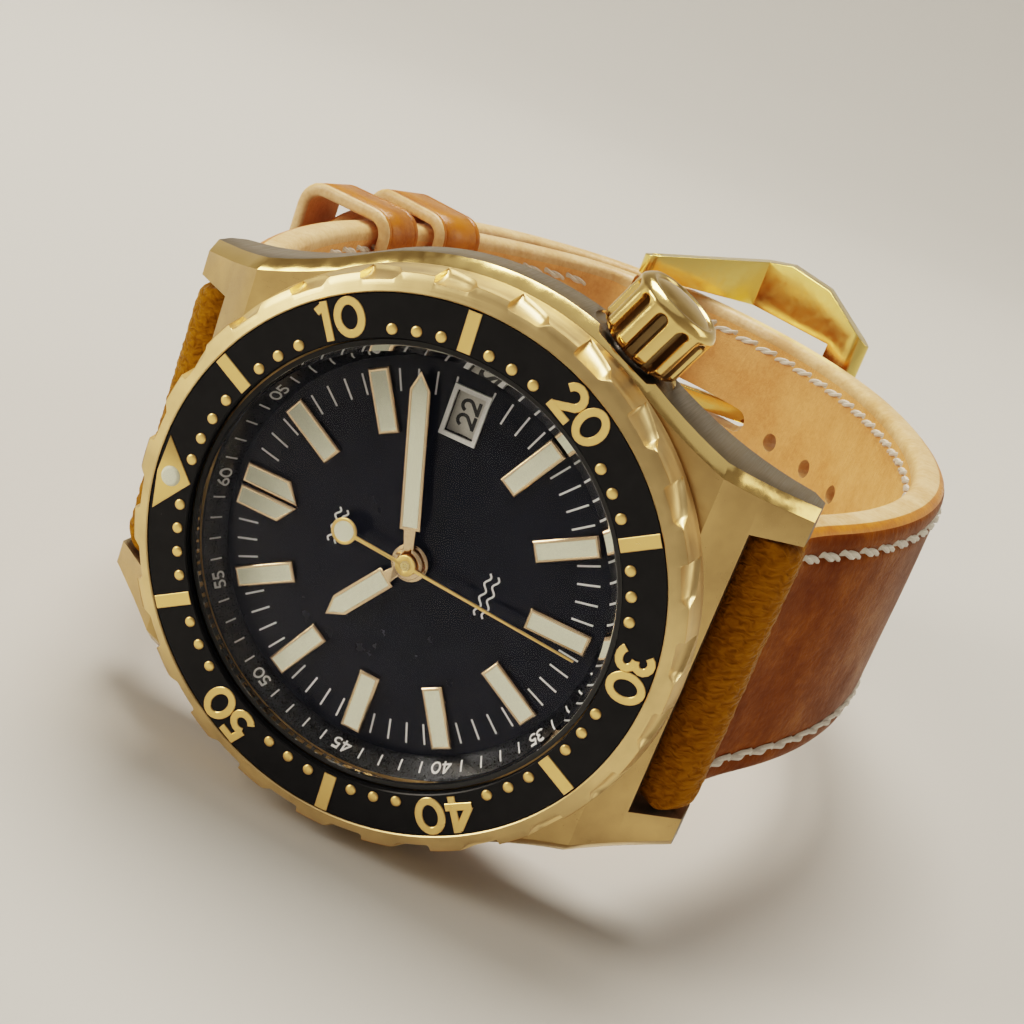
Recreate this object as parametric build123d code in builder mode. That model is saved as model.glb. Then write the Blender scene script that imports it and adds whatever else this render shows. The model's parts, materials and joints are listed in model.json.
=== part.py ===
from build123d import *
from math import cos, pi, radians, sin
import os

# Dive watch on a buckled leather strap, standing on its 9 o'clock side.
# Row frame: +Z is towards 3 o'clock, +X towards 6 o'clock, and the dial faces -Y.
# Heights along the dial's normal ("z" below) are counted from the top of the bezel insert.

# ---- driving dimensions, millimetres ----
LUG_WIDTH = 22.0            # gap between the lugs, which sets the strap's width
LUG_REACH = 23.66           # dial centre to lug tip
CASE_RADIUS = 21.1
CASE_TOP = -3.6
CASE_CENTRE = (2.45, -45.25, CASE_RADIUS)   # centre of the insert's top plane
BORE_RADIUS = 15.15         # case bore that holds the movement
CASEBACK_SEAT = -10.6
CASEBACK_BOTTOM = -12.0
CASEBACK_RADIUS = 18.3
BAR_REACH = 21.7            # spring bar, from the dial centre
BAR_HEIGHT = -9.6
BAR_RADIUS = 0.75

BEZEL_RADIUS = 20.45
BEZEL_BOTTOM = -3.3
BEZEL_BORE = 17.3
BEZEL_ZERO = -2.3           # degrees clockwise from 12, as the bezel is set
BEZEL_LAND = (20.1, -0.4)   # radius and height where the flat top meets the steep side
NOTCHES = 24
NOTCH_INNER = 19.6          # how far the notches cut into the rim
NOTCH_HALF = 1.45           # half of a notch's length along the rim
NOTCH_TURN = 9.6            # degrees from the bezel's zero to the first notch's middle
RATCHET_TEETH = 60
INSERT_OUTER = 18.8
INSERT_INNER = 15.75
INSERT_THICKNESS = 0.6
NECK_RADIUS = 17.0

CRYSTAL_RADIUS = 15.3
CRYSTAL_BOTTOM = -2.6
CRYSTAL_TOP = 1.1
DIAL_TOP = -4.2
DIAL_THICKNESS = 0.4
DIAL_RADIUS = 14.9
RING_INNER = 14.0

MARKER_WIDTH = 1.55
MARKER_INNER = 8.9
MARKER_OUTER = 13.4
MARKER_TOP = DIAL_TOP + 0.45
RIM = 0.22                  # width of the metal rim round a lume filling
WINDOW = (11.0, 3.0, 2.1)   # date window: distance from centre, radial length, width

HOUR_ANGLE = 306.0          # hands, degrees clockwise from 12
MINUTE_ANGLE = 74.4
SECOND_ANGLE = 184.3

MOVEMENT_RADIUS = 13.7
PLATE_TOP = -5.1
PLATE_BOTTOM = -7.7
BRIDGE_BOTTOM = -9.2
BRIDGE_TOP = -9.55          # the bridges' outer face, towards the caseback
ARBOR = 0.25
PIVOT_GAP = 0.05

CROWN_ANGLE = 114.0         # degrees clockwise from 12, so just above 4 o'clock
STEM_HEIGHT = -6.9
CROWN_START = 20.9
CROWN_END = 25.3
CROWN_RADIUS = 3.3
FLUTES = 11

STRAP_WIDTH = 21.4
STRAP_THICKNESS = 3.0
ROLL_RADIUS = 2.2
BUCKLE_BAR = (-7.0, 80.0)   # strap coordinates, see below
BUCKLE_INNER = 11.3
BUCKLE_OUTER = 13.6         # half of the frame's width at its spring bar

os.makedirs("parts", exist_ok=True)

# ---- working planes ----
# face: x towards 3 o'clock, y towards 12 o'clock, z out of the dial.
face = Plane(origin=CASE_CENTRE, x_dir=(0, 0, 1), z_dir=(0, -1, 0))
# section: x is the radius, y the height, for turned pieces.
section = Plane(origin=CASE_CENTRE, x_dir=(0, 0, 1), z_dir=(1, 0, 0))
# side: x towards 12 o'clock, y the height, z towards 3 o'clock.
side = Plane(origin=CASE_CENTRE, x_dir=(-1, 0, 0), z_dir=(0, 0, 1))
# loop: strap coordinates, x towards 6 o'clock, y backwards from the dial, z towards 3 o'clock.
loop = Plane(origin=CASE_CENTRE, x_dir=(1, 0, 0), z_dir=(0, 0, 1))
dial_axis = Axis(CASE_CENTRE, (0, -1, 0))
stem_direction = face.from_local_coords(
    Vector(sin(radians(CROWN_ANGLE)), cos(radians(CROWN_ANGLE)), 0)
) - face.origin
stem_origin = face.from_local_coords(Vector(0, 0, STEM_HEIGHT))
stem = Plane(origin=stem_origin, x_dir=(0, -1, 0), z_dir=stem_direction)
stem_section = Plane(origin=stem_origin, x_dir=(0, -1, 0), z_dir=stem_direction.cross(Vector(0, 1, 0)))
stem_axis = Axis(stem_origin, stem_direction)


def spot(angle, distance):
    """Dial point at an angle clockwise from 12 o'clock."""
    return (distance * sin(radians(angle)), distance * cos(radians(angle)))


def save(piece, name):
    """Label a finished piece and write it to its own file."""
    piece.label = name
    export_step(piece, f"parts/{name}.step")


def outline(plane, points):
    """Closed straight-sided face on a plane."""
    with BuildSketch(plane) as shape:
        with BuildLine():
            Polyline(*points, close=True)
        make_face()
    return shape.sketch


def turned(points):
    """Piece turned about the dial's axis from its (radius, height) outline."""
    with BuildPart() as piece:
        revolve(outline(section, points), axis=dial_axis)
    return piece.part


def ring(inner, outer, low, high):
    """Plain ring about the dial's axis."""
    return turned([(inner, low), (outer, low), (outer, high), (inner, high)])


def post(centre, radius, low, high):
    """Cylinder along the dial's normal."""
    with BuildPart() as piece:
        with BuildSketch(face.offset(low)):
            with Locations(centre):
                Circle(radius)
        extrude(amount=high - low)
    return piece.part


# ---- case ----
LUG_ROOT = spot(58.3, CASE_RADIUS)   # where the flank leaves the case's circle
LUG_WAIST = (15.2, 17.4)
LUG_NECK = (14.2, 21.0)
LUG_TIP = (13.65, LUG_REACH)
GAP_WALL = 20.2             # case wall between the lugs, from the dial centre
BEVEL = 0.8
BELLY = -7.9                # underside of the flank at 3 and 9 o'clock
PIN_RADIUS = 0.5            # spring bars' thin ends
PIN_HOLE = 0.6
GASKET_INNER, GASKET_OUTER, GASKET_DEPTH = 17.1, 17.7, 0.4
SPIGOT_OUTER, SPIGOT_INNER = 16.75, 15.2    # caseback's raised ring, inside the case
WIRE_LOW, WIRE_HIGH = -2.45, -1.95          # retaining wire that holds the bezel
TUBE_RADIUS = 1.9

with BuildPart() as mid_case:
    with BuildSketch(face.offset(CASEBACK_BOTTOM)):
        with BuildLine():
            ThreePointArc(LUG_ROOT, LUG_WAIST, LUG_NECK)
            Polyline(LUG_NECK, LUG_TIP, (0, LUG_REACH), (0, 0), LUG_ROOT)
        make_face()
        mirror(about=Plane.YZ)
        mirror(about=Plane.XZ)
        Circle(CASE_RADIUS)
    extrude(amount=CASE_TOP - CASEBACK_BOTTOM)
    # Seen from the side: lugs slope down in front, and the underside arches up between them.
    with BuildSketch(side):
        with BuildLine():
            Polyline(
                (0, BELLY), (0, CASE_TOP), (17.5, CASE_TOP),
                (LUG_REACH, -8.4), (LUG_REACH, -11.2), (22.7, CASEBACK_BOTTOM),
            )
            ThreePointArc((22.7, CASEBACK_BOTTOM), (13.0, -9.4), (0, BELLY))
        make_face()
        mirror(about=Plane.YZ)
    extrude(amount=CASE_RADIUS + 1, both=True, mode=Mode.INTERSECT)
    top_rim = [
        edge
        for edge in mid_case.edges().filter_by(Axis.Y, reverse=True)
        if abs(face.to_local_coords(edge.center()).X) > 13
        and face.to_local_coords(edge.center()).Z > -7.4
    ]
    chamfer(top_rim, BEVEL)
    add(post((0, 0), 18.6, CASEBACK_SEAT, CASE_TOP - 1))
    add(post((0, 0), NECK_RADIUS, CASE_TOP - 1, -1.2))
    # Gap between the lugs, with a round relief for the strap's rolled end.
    with BuildSketch(face.offset(CASEBACK_BOTTOM - 1)):
        with Locations((0, GAP_WALL + 3), (0, -GAP_WALL - 3)):
            Rectangle(LUG_WIDTH, 6)
    extrude(amount=14, mode=Mode.SUBTRACT)
    with BuildSketch(side):
        with Locations((BAR_REACH, BAR_HEIGHT), (-BAR_REACH, BAR_HEIGHT)):
            Circle(ROLL_RADIUS + 0.5)
    extrude(amount=LUG_WIDTH / 2, both=True, mode=Mode.SUBTRACT)
    with BuildSketch(side):
        with Locations((BAR_REACH, BAR_HEIGHT), (-BAR_REACH, BAR_HEIGHT)):
            Circle(PIN_HOLE)
    extrude(amount=LUG_WIDTH / 2 + 1.6, both=True, mode=Mode.SUBTRACT)
    # Bores for the movement, the crystal and the caseback, and the bezel wire's groove.
    add(post((0, 0), BORE_RADIUS, CASEBACK_BOTTOM - 1, -2.75), mode=Mode.SUBTRACT)
    add(post((0, 0), CRYSTAL_RADIUS + 0.35, -2.75, 1), mode=Mode.SUBTRACT)
    add(post((0, 0), 16.8, CASEBACK_BOTTOM - 1, -9.9), mode=Mode.SUBTRACT)
    add(post((0, 0), CASEBACK_RADIUS + 0.2, CASEBACK_BOTTOM - 1, CASEBACK_SEAT), mode=Mode.SUBTRACT)
    add(ring(16.75, NECK_RADIUS + 0.1, -2.6, -1.8), mode=Mode.SUBTRACT)
    # Crown pocket and the tube's hole.
    with BuildSketch(stem.offset(CROWN_START - 0.3)):
        Circle(CROWN_RADIUS + 0.35)
    extrude(amount=3, mode=Mode.SUBTRACT)
    with BuildSketch(stem.offset(14)):
        Circle(TUBE_RADIUS)
    extrude(amount=8, mode=Mode.SUBTRACT)
save(mid_case.part, "mid_case")

with BuildPart() as caseback:
    add(turned([
        (0, CASEBACK_BOTTOM), (CASEBACK_RADIUS - 0.8, CASEBACK_BOTTOM),
        (CASEBACK_RADIUS, CASEBACK_BOTTOM + 0.6), (CASEBACK_RADIUS, CASEBACK_SEAT),
        (SPIGOT_OUTER, CASEBACK_SEAT), (SPIGOT_OUTER, -9.95), (SPIGOT_INNER, -9.95),
        (SPIGOT_INNER, -10.85), (0, -10.85),
    ]))
    add(ring(GASKET_INNER, GASKET_OUTER, CASEBACK_SEAT - GASKET_DEPTH, CASEBACK_SEAT), mode=Mode.SUBTRACT)
    with BuildSketch(face.offset(CASEBACK_BOTTOM)):
        with PolarLocations(16.0, 6):
            RectangleRounded(1.6, 2.6, 0.4)
    extrude(amount=0.6, mode=Mode.SUBTRACT)
save(caseback.part, "caseback")
save(ring(GASKET_INNER, GASKET_OUTER, CASEBACK_SEAT - GASKET_DEPTH, CASEBACK_SEAT), "caseback_gasket")

with BuildPart() as spring_bars:
    with BuildSketch(side):
        with Locations((BAR_REACH, BAR_HEIGHT), (-BAR_REACH, BAR_HEIGHT)):
            Circle(BAR_RADIUS)
    extrude(amount=LUG_WIDTH / 2 - 0.3, both=True)
    with BuildSketch(side):
        with Locations((BAR_REACH, BAR_HEIGHT), (-BAR_REACH, BAR_HEIGHT)):
            Circle(PIN_RADIUS)
    extrude(amount=LUG_WIDTH / 2 + 1.3, both=True)
save(spring_bars.part, "lug_spring_bars")

# ---- bezel ----
# Each notch is a scoop: deep at its anticlockwise end, with a floor that rises clockwise.
with BuildPart() as scoop:
    notch_plane = Plane(
        origin=face.from_local_coords(Vector(0, NOTCH_INNER, 0)), x_dir=(0, 0, 1), z_dir=(-1, 0, 0)
    )
    extrude(outline(notch_plane, [
        (-NOTCH_HALF, -0.5), (NOTCH_HALF, -0.5), (NOTCH_HALF, 0.6), (-NOTCH_HALF, 2.7),
    ]), amount=1.5)

with BuildPart() as bezel:
    add(turned([
        (BEZEL_BORE, BEZEL_BOTTOM), (20.2, BEZEL_BOTTOM), (BEZEL_RADIUS, BEZEL_BOTTOM + 0.3),
        BEZEL_LAND, (INSERT_OUTER, 0.1), (INSERT_OUTER, -INSERT_THICKNESS),
        (16.0, -INSERT_THICKNESS), (16.0, -0.9), (BEZEL_BORE, -0.9),
    ]))
    for notch in range(NOTCHES):
        clockwise = BEZEL_ZERO + NOTCH_TURN + 360 / NOTCHES * notch
        add(scoop.part.rotate(dial_axis, -clockwise), mode=Mode.SUBTRACT)
    with BuildSketch(face.offset(BEZEL_BOTTOM)):
        with PolarLocations(18.2, RATCHET_TEETH):
            Rectangle(1.0, 0.5)
    extrude(amount=0.3, mode=Mode.SUBTRACT)
    add(ring(BEZEL_BORE - 0.1, BEZEL_BORE + 0.2, WIRE_LOW, WIRE_HIGH), mode=Mode.SUBTRACT)
save(bezel.part, "bezel")

PIP = spot(BEZEL_ZERO, 17.5)
PIP_RADIUS = 0.75
with BuildPart() as insert:
    add(ring(INSERT_INNER, INSERT_OUTER, -INSERT_THICKNESS, 0))
    add(post(PIP, PIP_RADIUS, -0.4, 0.1), mode=Mode.SUBTRACT)
save(insert.part, "bezel_insert")

with BuildPart() as pip:
    add(post(PIP, PIP_RADIUS, -0.4, 0.3))
    fillet(pip.edges().sort_by(Axis.Y)[0], 0.28)
save(pip.part, "bezel_lume_pip")
save(ring(NECK_RADIUS - 0.05, BEZEL_BORE + 0.2, WIRE_LOW, WIRE_HIGH), "bezel_retaining_wire")

with BuildPart() as click_spring:
    add(ring(17.6, 19.2, CASE_TOP, CASE_TOP + 0.15))
    with BuildSketch(face.offset(CASE_TOP + 0.1)):
        with PolarLocations(18.2, 3):
            Rectangle(0.8, 1.6)
    extrude(amount=0.15)
save(click_spring.part, "bezel_click_spring")

# ---- crystal, chapter ring, dial ----
with BuildPart() as crystal:
    with BuildSketch(section):
        with BuildLine():
            TangentArc((0, CRYSTAL_TOP), (14.9, -0.1), tangent=(1, 0))
            Polyline(
                (14.9, -0.1), (CRYSTAL_RADIUS, -0.5), (CRYSTAL_RADIUS, CRYSTAL_BOTTOM),
                (14.5, CRYSTAL_BOTTOM),
            )
            TangentArc((0, -1.5), (14.5, CRYSTAL_BOTTOM), tangent=(1, 0))
            Line((0, -1.5), (0, CRYSTAL_TOP))
        make_face()
    revolve(axis=dial_axis)
save(crystal.part, "crystal")
save(ring(CRYSTAL_RADIUS, CRYSTAL_RADIUS + 0.35, -2.75, -0.65), "crystal_gasket")
save(turned([
    (RING_INNER, DIAL_TOP), (15.1, DIAL_TOP), (15.1, CRYSTAL_BOTTOM), (14.95, CRYSTAL_BOTTOM),
    (RING_INNER, -4.0),
]), "chapter_ring")

with BuildPart() as dial:
    add(ring(1.1, DIAL_RADIUS, DIAL_TOP - DIAL_THICKNESS, DIAL_TOP))
    with BuildSketch(face.offset(DIAL_TOP - DIAL_THICKNESS)):
        with Locations((WINDOW[0], 0)):
            Rectangle(WINDOW[1], WINDOW[2])
    extrude(amount=DIAL_THICKNESS, mode=Mode.SUBTRACT)
save(dial.part, "dial")

with BuildPart() as date_frame:
    with BuildSketch(face.offset(DIAL_TOP)):
        with Locations((WINDOW[0], 0)):
            Rectangle(WINDOW[1] + 0.6, WINDOW[2] + 0.6)
            Rectangle(WINDOW[1], WINDOW[2], mode=Mode.SUBTRACT)
    extrude(amount=0.2)
save(date_frame.part, "date_window_frame")

MARKER_MIDDLE = (MARKER_INNER + MARKER_OUTER) / 2
MARKER_LENGTH = MARKER_OUTER - MARKER_INNER
MARKER_SPOTS = [
    Location(spot(30 * hour, MARKER_MIDDLE), -30 * hour) for hour in range(1, 12) if hour != 3
]


def twelve_half(sign, inset):
    """Half of the 12 o'clock marker, a baton with a slanted inner end."""
    near, far = sign * (0.09 + inset), sign * (1.6 - inset)
    tip = MARKER_INNER + 0.1 + inset
    return [(near, tip), (far, tip + 1.0), (far, MARKER_OUTER - inset), (near, MARKER_OUTER - inset)]


def marker_shapes(plane, inset):
    """Outlines of all the hour markers, drawn in by an inset."""
    with BuildSketch(plane) as shapes:
        with Locations(*MARKER_SPOTS):
            Rectangle(MARKER_WIDTH - 2 * inset, MARKER_LENGTH - 2 * inset)
        add(outline(Plane.XY, twelve_half(1, inset)))
        add(outline(Plane.XY, twelve_half(-1, inset)))
    return shapes.sketch


with BuildPart() as markers:
    extrude(marker_shapes(face.offset(DIAL_TOP), 0), amount=MARKER_TOP - DIAL_TOP)
    chamfer(markers.faces().group_by(Axis.Y)[0].edges(), 0.1)
    extrude(marker_shapes(face.offset(DIAL_TOP + 0.2), RIM), amount=1, mode=Mode.SUBTRACT)
save(markers.part, "hour_markers")

with BuildPart() as marker_lume:
    extrude(marker_shapes(face.offset(DIAL_TOP + 0.2), RIM), amount=MARKER_TOP - DIAL_TOP - 0.22)
save(marker_lume.part, "hour_marker_lume")

# ---- hands ----
HOUR_HAND = -3.75           # undersides of the three hands
MINUTE_HAND = -3.35
SECOND_HAND = -2.95
HAND_THICKNESS = 0.16
LUME_DEPTH = 0.08


def baton(plane, angle, start, end, width, point, inset):
    """Blade of a hand: parallel sides with a pointed tip, drawn in by an inset."""
    half = width / 2 - inset
    low, shoulder = start + inset, end - point
    blade = [(-half, low), (half, low), (half, shoulder), (0, end - 1.6 * inset), (-half, shoulder)]
    with BuildSketch(plane) as shape:
        add(outline(Plane.XY, blade).rotate(Axis.Z, -angle))
    return shape.sketch


def hand(level, angle, hub, bore, start, end, width, point):
    """Hour or minute hand: hub, neck and framed blade with a pocket for the lume."""
    with BuildPart() as piece:
        with BuildSketch(face.offset(level)):
            Circle(hub)
            neck = [(-0.3, 0), (0.3, 0), (0.45, start + 0.2), (-0.45, start + 0.2)]
            add(outline(Plane.XY, neck).rotate(Axis.Z, -angle))
            Circle(bore, mode=Mode.SUBTRACT)
        extrude(amount=HAND_THICKNESS)
        extrude(baton(face.offset(level), angle, start, end, width, point, 0), amount=HAND_THICKNESS)
        extrude(
            baton(face.offset(level + HAND_THICKNESS - LUME_DEPTH), angle, start, end, width, point, RIM),
            amount=1,
            mode=Mode.SUBTRACT,
        )
    return piece.part


def hand_lume(level, angle, start, end, width, point):
    """Lume filling that lies in a hand's pocket."""
    with BuildPart() as piece:
        pocket = face.offset(level + HAND_THICKNESS - LUME_DEPTH)
        extrude(baton(pocket, angle, start, end, width, point, RIM), amount=LUME_DEPTH)
    return piece.part


HOUR_BLADE = (2.0, 7.6, 1.6, 1.3)
MINUTE_BLADE = (2.4, 13.3, 1.5, 1.3)
save(hand(HOUR_HAND, HOUR_ANGLE, 1.35, 0.95, *HOUR_BLADE), "hour_hand")
save(hand_lume(HOUR_HAND, HOUR_ANGLE, *HOUR_BLADE), "hour_hand_lume")
save(hand(MINUTE_HAND, MINUTE_ANGLE, 1.1, 0.66, *MINUTE_BLADE), "minute_hand")
save(hand_lume(MINUTE_HAND, MINUTE_ANGLE, *MINUTE_BLADE), "minute_hand_lume")

COUNTERWEIGHT = spot(SECOND_ANGLE + 180, 4.9)
with BuildPart() as seconds_hand:
    with BuildSketch(face.offset(SECOND_HAND)):
        Circle(0.75)
        needle = [(-0.16, -5.6), (0.16, -5.6), (0.08, 13.1), (-0.08, 13.1)]
        add(outline(Plane.XY, needle).rotate(Axis.Z, -SECOND_ANGLE))
        with Locations(COUNTERWEIGHT):
            Circle(0.95)
    extrude(amount=0.12)
    add(post(COUNTERWEIGHT, 0.72, SECOND_HAND + 0.06, SECOND_HAND + 0.2), mode=Mode.SUBTRACT)
    add(post((0, 0), 0.36, SECOND_HAND - 0.1, SECOND_HAND + 0.2), mode=Mode.SUBTRACT)
save(seconds_hand.part, "seconds_hand")
save(post(COUNTERWEIGHT, 0.72, SECOND_HAND + 0.06, SECOND_HAND + 0.12), "seconds_hand_lume")

# ---- movement: plate, bridges, holder ----
BARREL_SPOT = spot(195, 6.45)
THIRD_SPOT = spot(20, 4.35)
ESCAPE_SPOT = spot(290, 4.15)
PALLET_SPOT = spot(297, 6.35)
BALANCE_SPOT = spot(300, 8.6)
MINUTE_WHEEL_SPOT = spot(60, 2.62)
CLICK_SPOT = spot(212, 10.4)
COCK_FOOT = spot(325, 12.1)
SCREWS = [spot(150, 12.9), spot(195, 12.95), spot(238, 12.9), spot(20, 12.95), spot(70, 12.95), COCK_FOOT]
SCREW_RADIUS = 0.3
RATCHET_ARBOR = 0.55


def drill_screws(low, high):
    """Clearance holes for the movement's screws."""
    with BuildPart() as holes:
        with BuildSketch(face.offset(low)):
            with Locations(*SCREWS):
                Circle(SCREW_RADIUS + 0.02)
        extrude(amount=high - low)
    return holes.part


with BuildPart() as main_plate:
    add(post((0, 0), MOVEMENT_RADIUS, PLATE_BOTTOM, PLATE_TOP))
    add(post((0, 0), 4.9, -5.8, PLATE_TOP), mode=Mode.SUBTRACT)
    add(post((0, 0), 0.72, PLATE_BOTTOM, PLATE_TOP), mode=Mode.SUBTRACT)
    with BuildSketch(stem.offset(5.8)):
        Circle(1.5)
    extrude(amount=9, mode=Mode.SUBTRACT)
    add(drill_screws(PLATE_BOTTOM, PLATE_BOTTOM + 1.0), mode=Mode.SUBTRACT)
save(main_plate.part, "movement_main_plate")

with BuildPart() as holder:
    add(ring(MOVEMENT_RADIUS + 0.05, BORE_RADIUS - 0.1, -9.6, DIAL_TOP - DIAL_THICKNESS))
    with BuildSketch(stem.offset(12)):
        Circle(1.5)
    extrude(amount=4, mode=Mode.SUBTRACT)
save(holder.part, "movement_holder_ring")


def bridge(corners, foot_corners, arbor_hole):
    """Bridge cut from a disc by straight edges, on a foot that follows the movement's rim."""
    with BuildPart() as piece:
        with BuildSketch(face.offset(BRIDGE_TOP)):
            Circle(13.5)
            add(outline(Plane.XY, corners), mode=Mode.INTERSECT)
        extrude(amount=BRIDGE_BOTTOM - BRIDGE_TOP)
        with BuildSketch(face.offset(BRIDGE_BOTTOM)):
            Circle(13.5)
            Circle(12.3, mode=Mode.SUBTRACT)
            add(outline(Plane.XY, foot_corners), mode=Mode.INTERSECT)
        extrude(amount=PLATE_BOTTOM - BRIDGE_BOTTOM)
        add(drill_screws(BRIDGE_TOP, PLATE_BOTTOM), mode=Mode.SUBTRACT)
        if arbor_hole:
            add(post(*arbor_hole, BRIDGE_TOP, BRIDGE_BOTTOM), mode=Mode.SUBTRACT)
    return piece.part


save(bridge(
    [(-14, -14), (14, -14), (14, -6.5), (5.5, -1.4), (-14, -1.4)],
    [(-14, -14), (14, -14), (14, -8), (0, -8), (-14, -4)],
    (BARREL_SPOT, RATCHET_ARBOR + 0.05),
), "barrel_bridge")
save(bridge(
    [(-2.9, -1.2), (14, -1.2), (14, 14), (-2.9, 14)],
    [(2, 3), (14, 3), (14, 14), (2, 14)],
    None,
), "train_bridge")

with BuildPart() as balance_cock:
    with BuildSketch(face.offset(BRIDGE_TOP)):
        with Locations(COCK_FOOT):
            Circle(1.2)
        with Locations(BALANCE_SPOT):
            Circle(1.1)
        make_hull()
    extrude(amount=BRIDGE_BOTTOM - BRIDGE_TOP)
    with BuildSketch(face.offset(BRIDGE_BOTTOM)):
        with Locations(COCK_FOOT):
            Circle(1.2)
    extrude(amount=PLATE_BOTTOM - BRIDGE_BOTTOM)
    add(drill_screws(BRIDGE_TOP, PLATE_BOTTOM), mode=Mode.SUBTRACT)
save(balance_cock.part, "balance_cock")

with BuildPart() as screws:
    with BuildSketch(face.offset(BRIDGE_TOP - 0.25)):
        with Locations(*SCREWS):
            Circle(0.6)
    extrude(amount=0.25)
    with BuildSketch(face.offset(BRIDGE_TOP)):
        with Locations(*SCREWS):
            Circle(SCREW_RADIUS)
    extrude(amount=PLATE_BOTTOM + 0.8 - BRIDGE_TOP)
    with BuildSketch(face.offset(BRIDGE_TOP - 0.25)):
        with Locations(*SCREWS):
            Rectangle(1.4, 0.16)
    extrude(amount=0.12, mode=Mode.SUBTRACT)
save(screws.part, "movement_screws")

# ---- movement: wheels ----


def toothed(plane, centre, radius, teeth):
    """Flat gear with straight-flanked teeth and, if it is wide enough, four arms."""
    depth = min(0.35, radius / 6)
    pitch = 2 * pi * radius / teeth
    with BuildSketch(plane) as shape:
        with Locations(centre):
            Circle(radius - depth)
            with PolarLocations(radius - depth / 2 - 0.05, teeth):
                Rectangle(depth + 0.1, 0.45 * pitch)
            if radius > 1.8:
                with PolarLocations(0.56 * radius, 4, start_angle=45):
                    RectangleRounded(0.42 * radius, 0.5 * radius, 0.12 * radius, mode=Mode.SUBTRACT)
    return shape.sketch


def wheel(centre, radius, teeth, low, high, pinion=None, leaves=8, shaft=None):
    """Wheel, its pinion (radius, low, high) and its arbor between the plates."""
    bottom, top = shaft or (BRIDGE_BOTTOM + PIVOT_GAP, PLATE_BOTTOM - PIVOT_GAP)
    with BuildPart() as piece:
        extrude(toothed(face.offset(low), centre, radius, teeth), amount=high - low)
        if pinion:
            radius, start, end = pinion
            extrude(toothed(face.offset(start), centre, radius, leaves), amount=end - start)
        add(post(centre, ARBOR, bottom, top))
    return piece.part


with BuildPart() as barrel:
    extrude(toothed(face.offset(-8.3), BARREL_SPOT, 5.35, 72), amount=0.2)
    add(post(BARREL_SPOT, 4.95, -8.75, -8.1))
    add(post(BARREL_SPOT, 4.6, -8.65, -8.2), mode=Mode.SUBTRACT)
    add(post(BARREL_SPOT, RATCHET_ARBOR + 0.06, -8.8, -8.0), mode=Mode.SUBTRACT)
save(barrel.part, "mainspring_barrel")


def spiral(centre, inner, outer, turns, width, low, high):
    """Flat spiral spring, drawn as half circles that step outwards."""
    step = (outer - inner) / (2 * turns)
    with BuildPart() as piece:
        with BuildSketch(face.offset(low)):
            with BuildLine():
                start = Vector(centre[0] + inner, centre[1])
                radius = inner
                for half in range(2 * turns):
                    sign = 1 if half % 2 == 0 else -1
                    radius += step / 2
                    end = start - Vector(2 * sign * radius, 0)
                    middle = (start + end) / 2 + Vector(0, sign * radius)
                    ThreePointArc(start, middle, end)
                    start = end
                    radius += step / 2
            trace(line_width=width)
        extrude(amount=high - low)
    return piece.part


save(spiral(BARREL_SPOT, 1.0, 4.3, 6, 0.12, -8.6, -8.25), "mainspring")

RATCHET_RADIUS = 2.6
with BuildPart() as ratchet:
    extrude(toothed(face.offset(BRIDGE_TOP - 0.3), BARREL_SPOT, RATCHET_RADIUS, 36), amount=0.2)
    add(post(BARREL_SPOT, RATCHET_ARBOR, BRIDGE_TOP - 0.3, PLATE_BOTTOM - PIVOT_GAP))
save(ratchet.part, "ratchet_wheel")

with BuildPart() as click:
    with BuildSketch(face.offset(BRIDGE_TOP - 0.3)):
        with Locations(CLICK_SPOT):
            Circle(0.5)
        tooth = (Vector(*CLICK_SPOT) + Vector(*BARREL_SPOT)) / 2
        direction = (Vector(*BARREL_SPOT) - Vector(*CLICK_SPOT)).normalized()
        reach = (Vector(*BARREL_SPOT) - Vector(*CLICK_SPOT)).length - RATCHET_RADIUS - 0.35
        with Locations(Vector(*CLICK_SPOT) + direction * reach):
            Circle(0.14)
        make_hull()
    extrude(amount=0.2)
save(click.part, "ratchet_click")

save(wheel(THIRD_SPOT, 3.38, 75, -8.55, -8.4, pinion=(0.68, -8.05, -7.8), leaves=10), "third_wheel")
save(wheel(ESCAPE_SPOT, 1.9, 15, -8.35, -8.2, pinion=(0.45, -9.05, -8.85), leaves=7), "escape_wheel")

CENTRE_TUBE = 0.66
SECONDS_ARBOR = 0.36
with BuildPart() as centre_wheel:
    extrude(toothed(face.offset(-8.0), (0, 0), 3.6, 80), amount=0.15)
    extrude(toothed(face.offset(-8.3), (0, 0), 1.0, 12), amount=0.3)
    add(post((0, 0), CENTRE_TUBE, -8.0, MINUTE_HAND + HAND_THICKNESS))
    add(post((0, 0), SECONDS_ARBOR + 0.06, -8.4, -3), mode=Mode.SUBTRACT)
save(centre_wheel.part, "centre_wheel")

with BuildPart() as fourth_wheel:
    extrude(toothed(face.offset(-9.0), (0, 0), 3.62, 84), amount=0.12)
    extrude(toothed(face.offset(-8.6), (0, 0), 0.88, 10), amount=0.25)
    add(post((0, 0), SECONDS_ARBOR, BRIDGE_BOTTOM + PIVOT_GAP, SECOND_HAND + 0.12))
save(fourth_wheel.part, "fourth_wheel")

with BuildPart() as hour_wheel:
    extrude(toothed(face.offset(-5.4), (0, 0), 2.1, 40), amount=0.15)
    add(post((0, 0), 0.95, -5.4, HOUR_HAND + HAND_THICKNESS))
    add(post((0, 0), CENTRE_TUBE + 0.06, -5.5, -3), mode=Mode.SUBTRACT)
save(hour_wheel.part, "hour_wheel")
save(wheel(
    MINUTE_WHEEL_SPOT, 1.85, 30, -5.65, -5.55, pinion=(0.45, -5.55, -5.2), shaft=(-5.75, -5.15),
), "minute_wheel")

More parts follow.
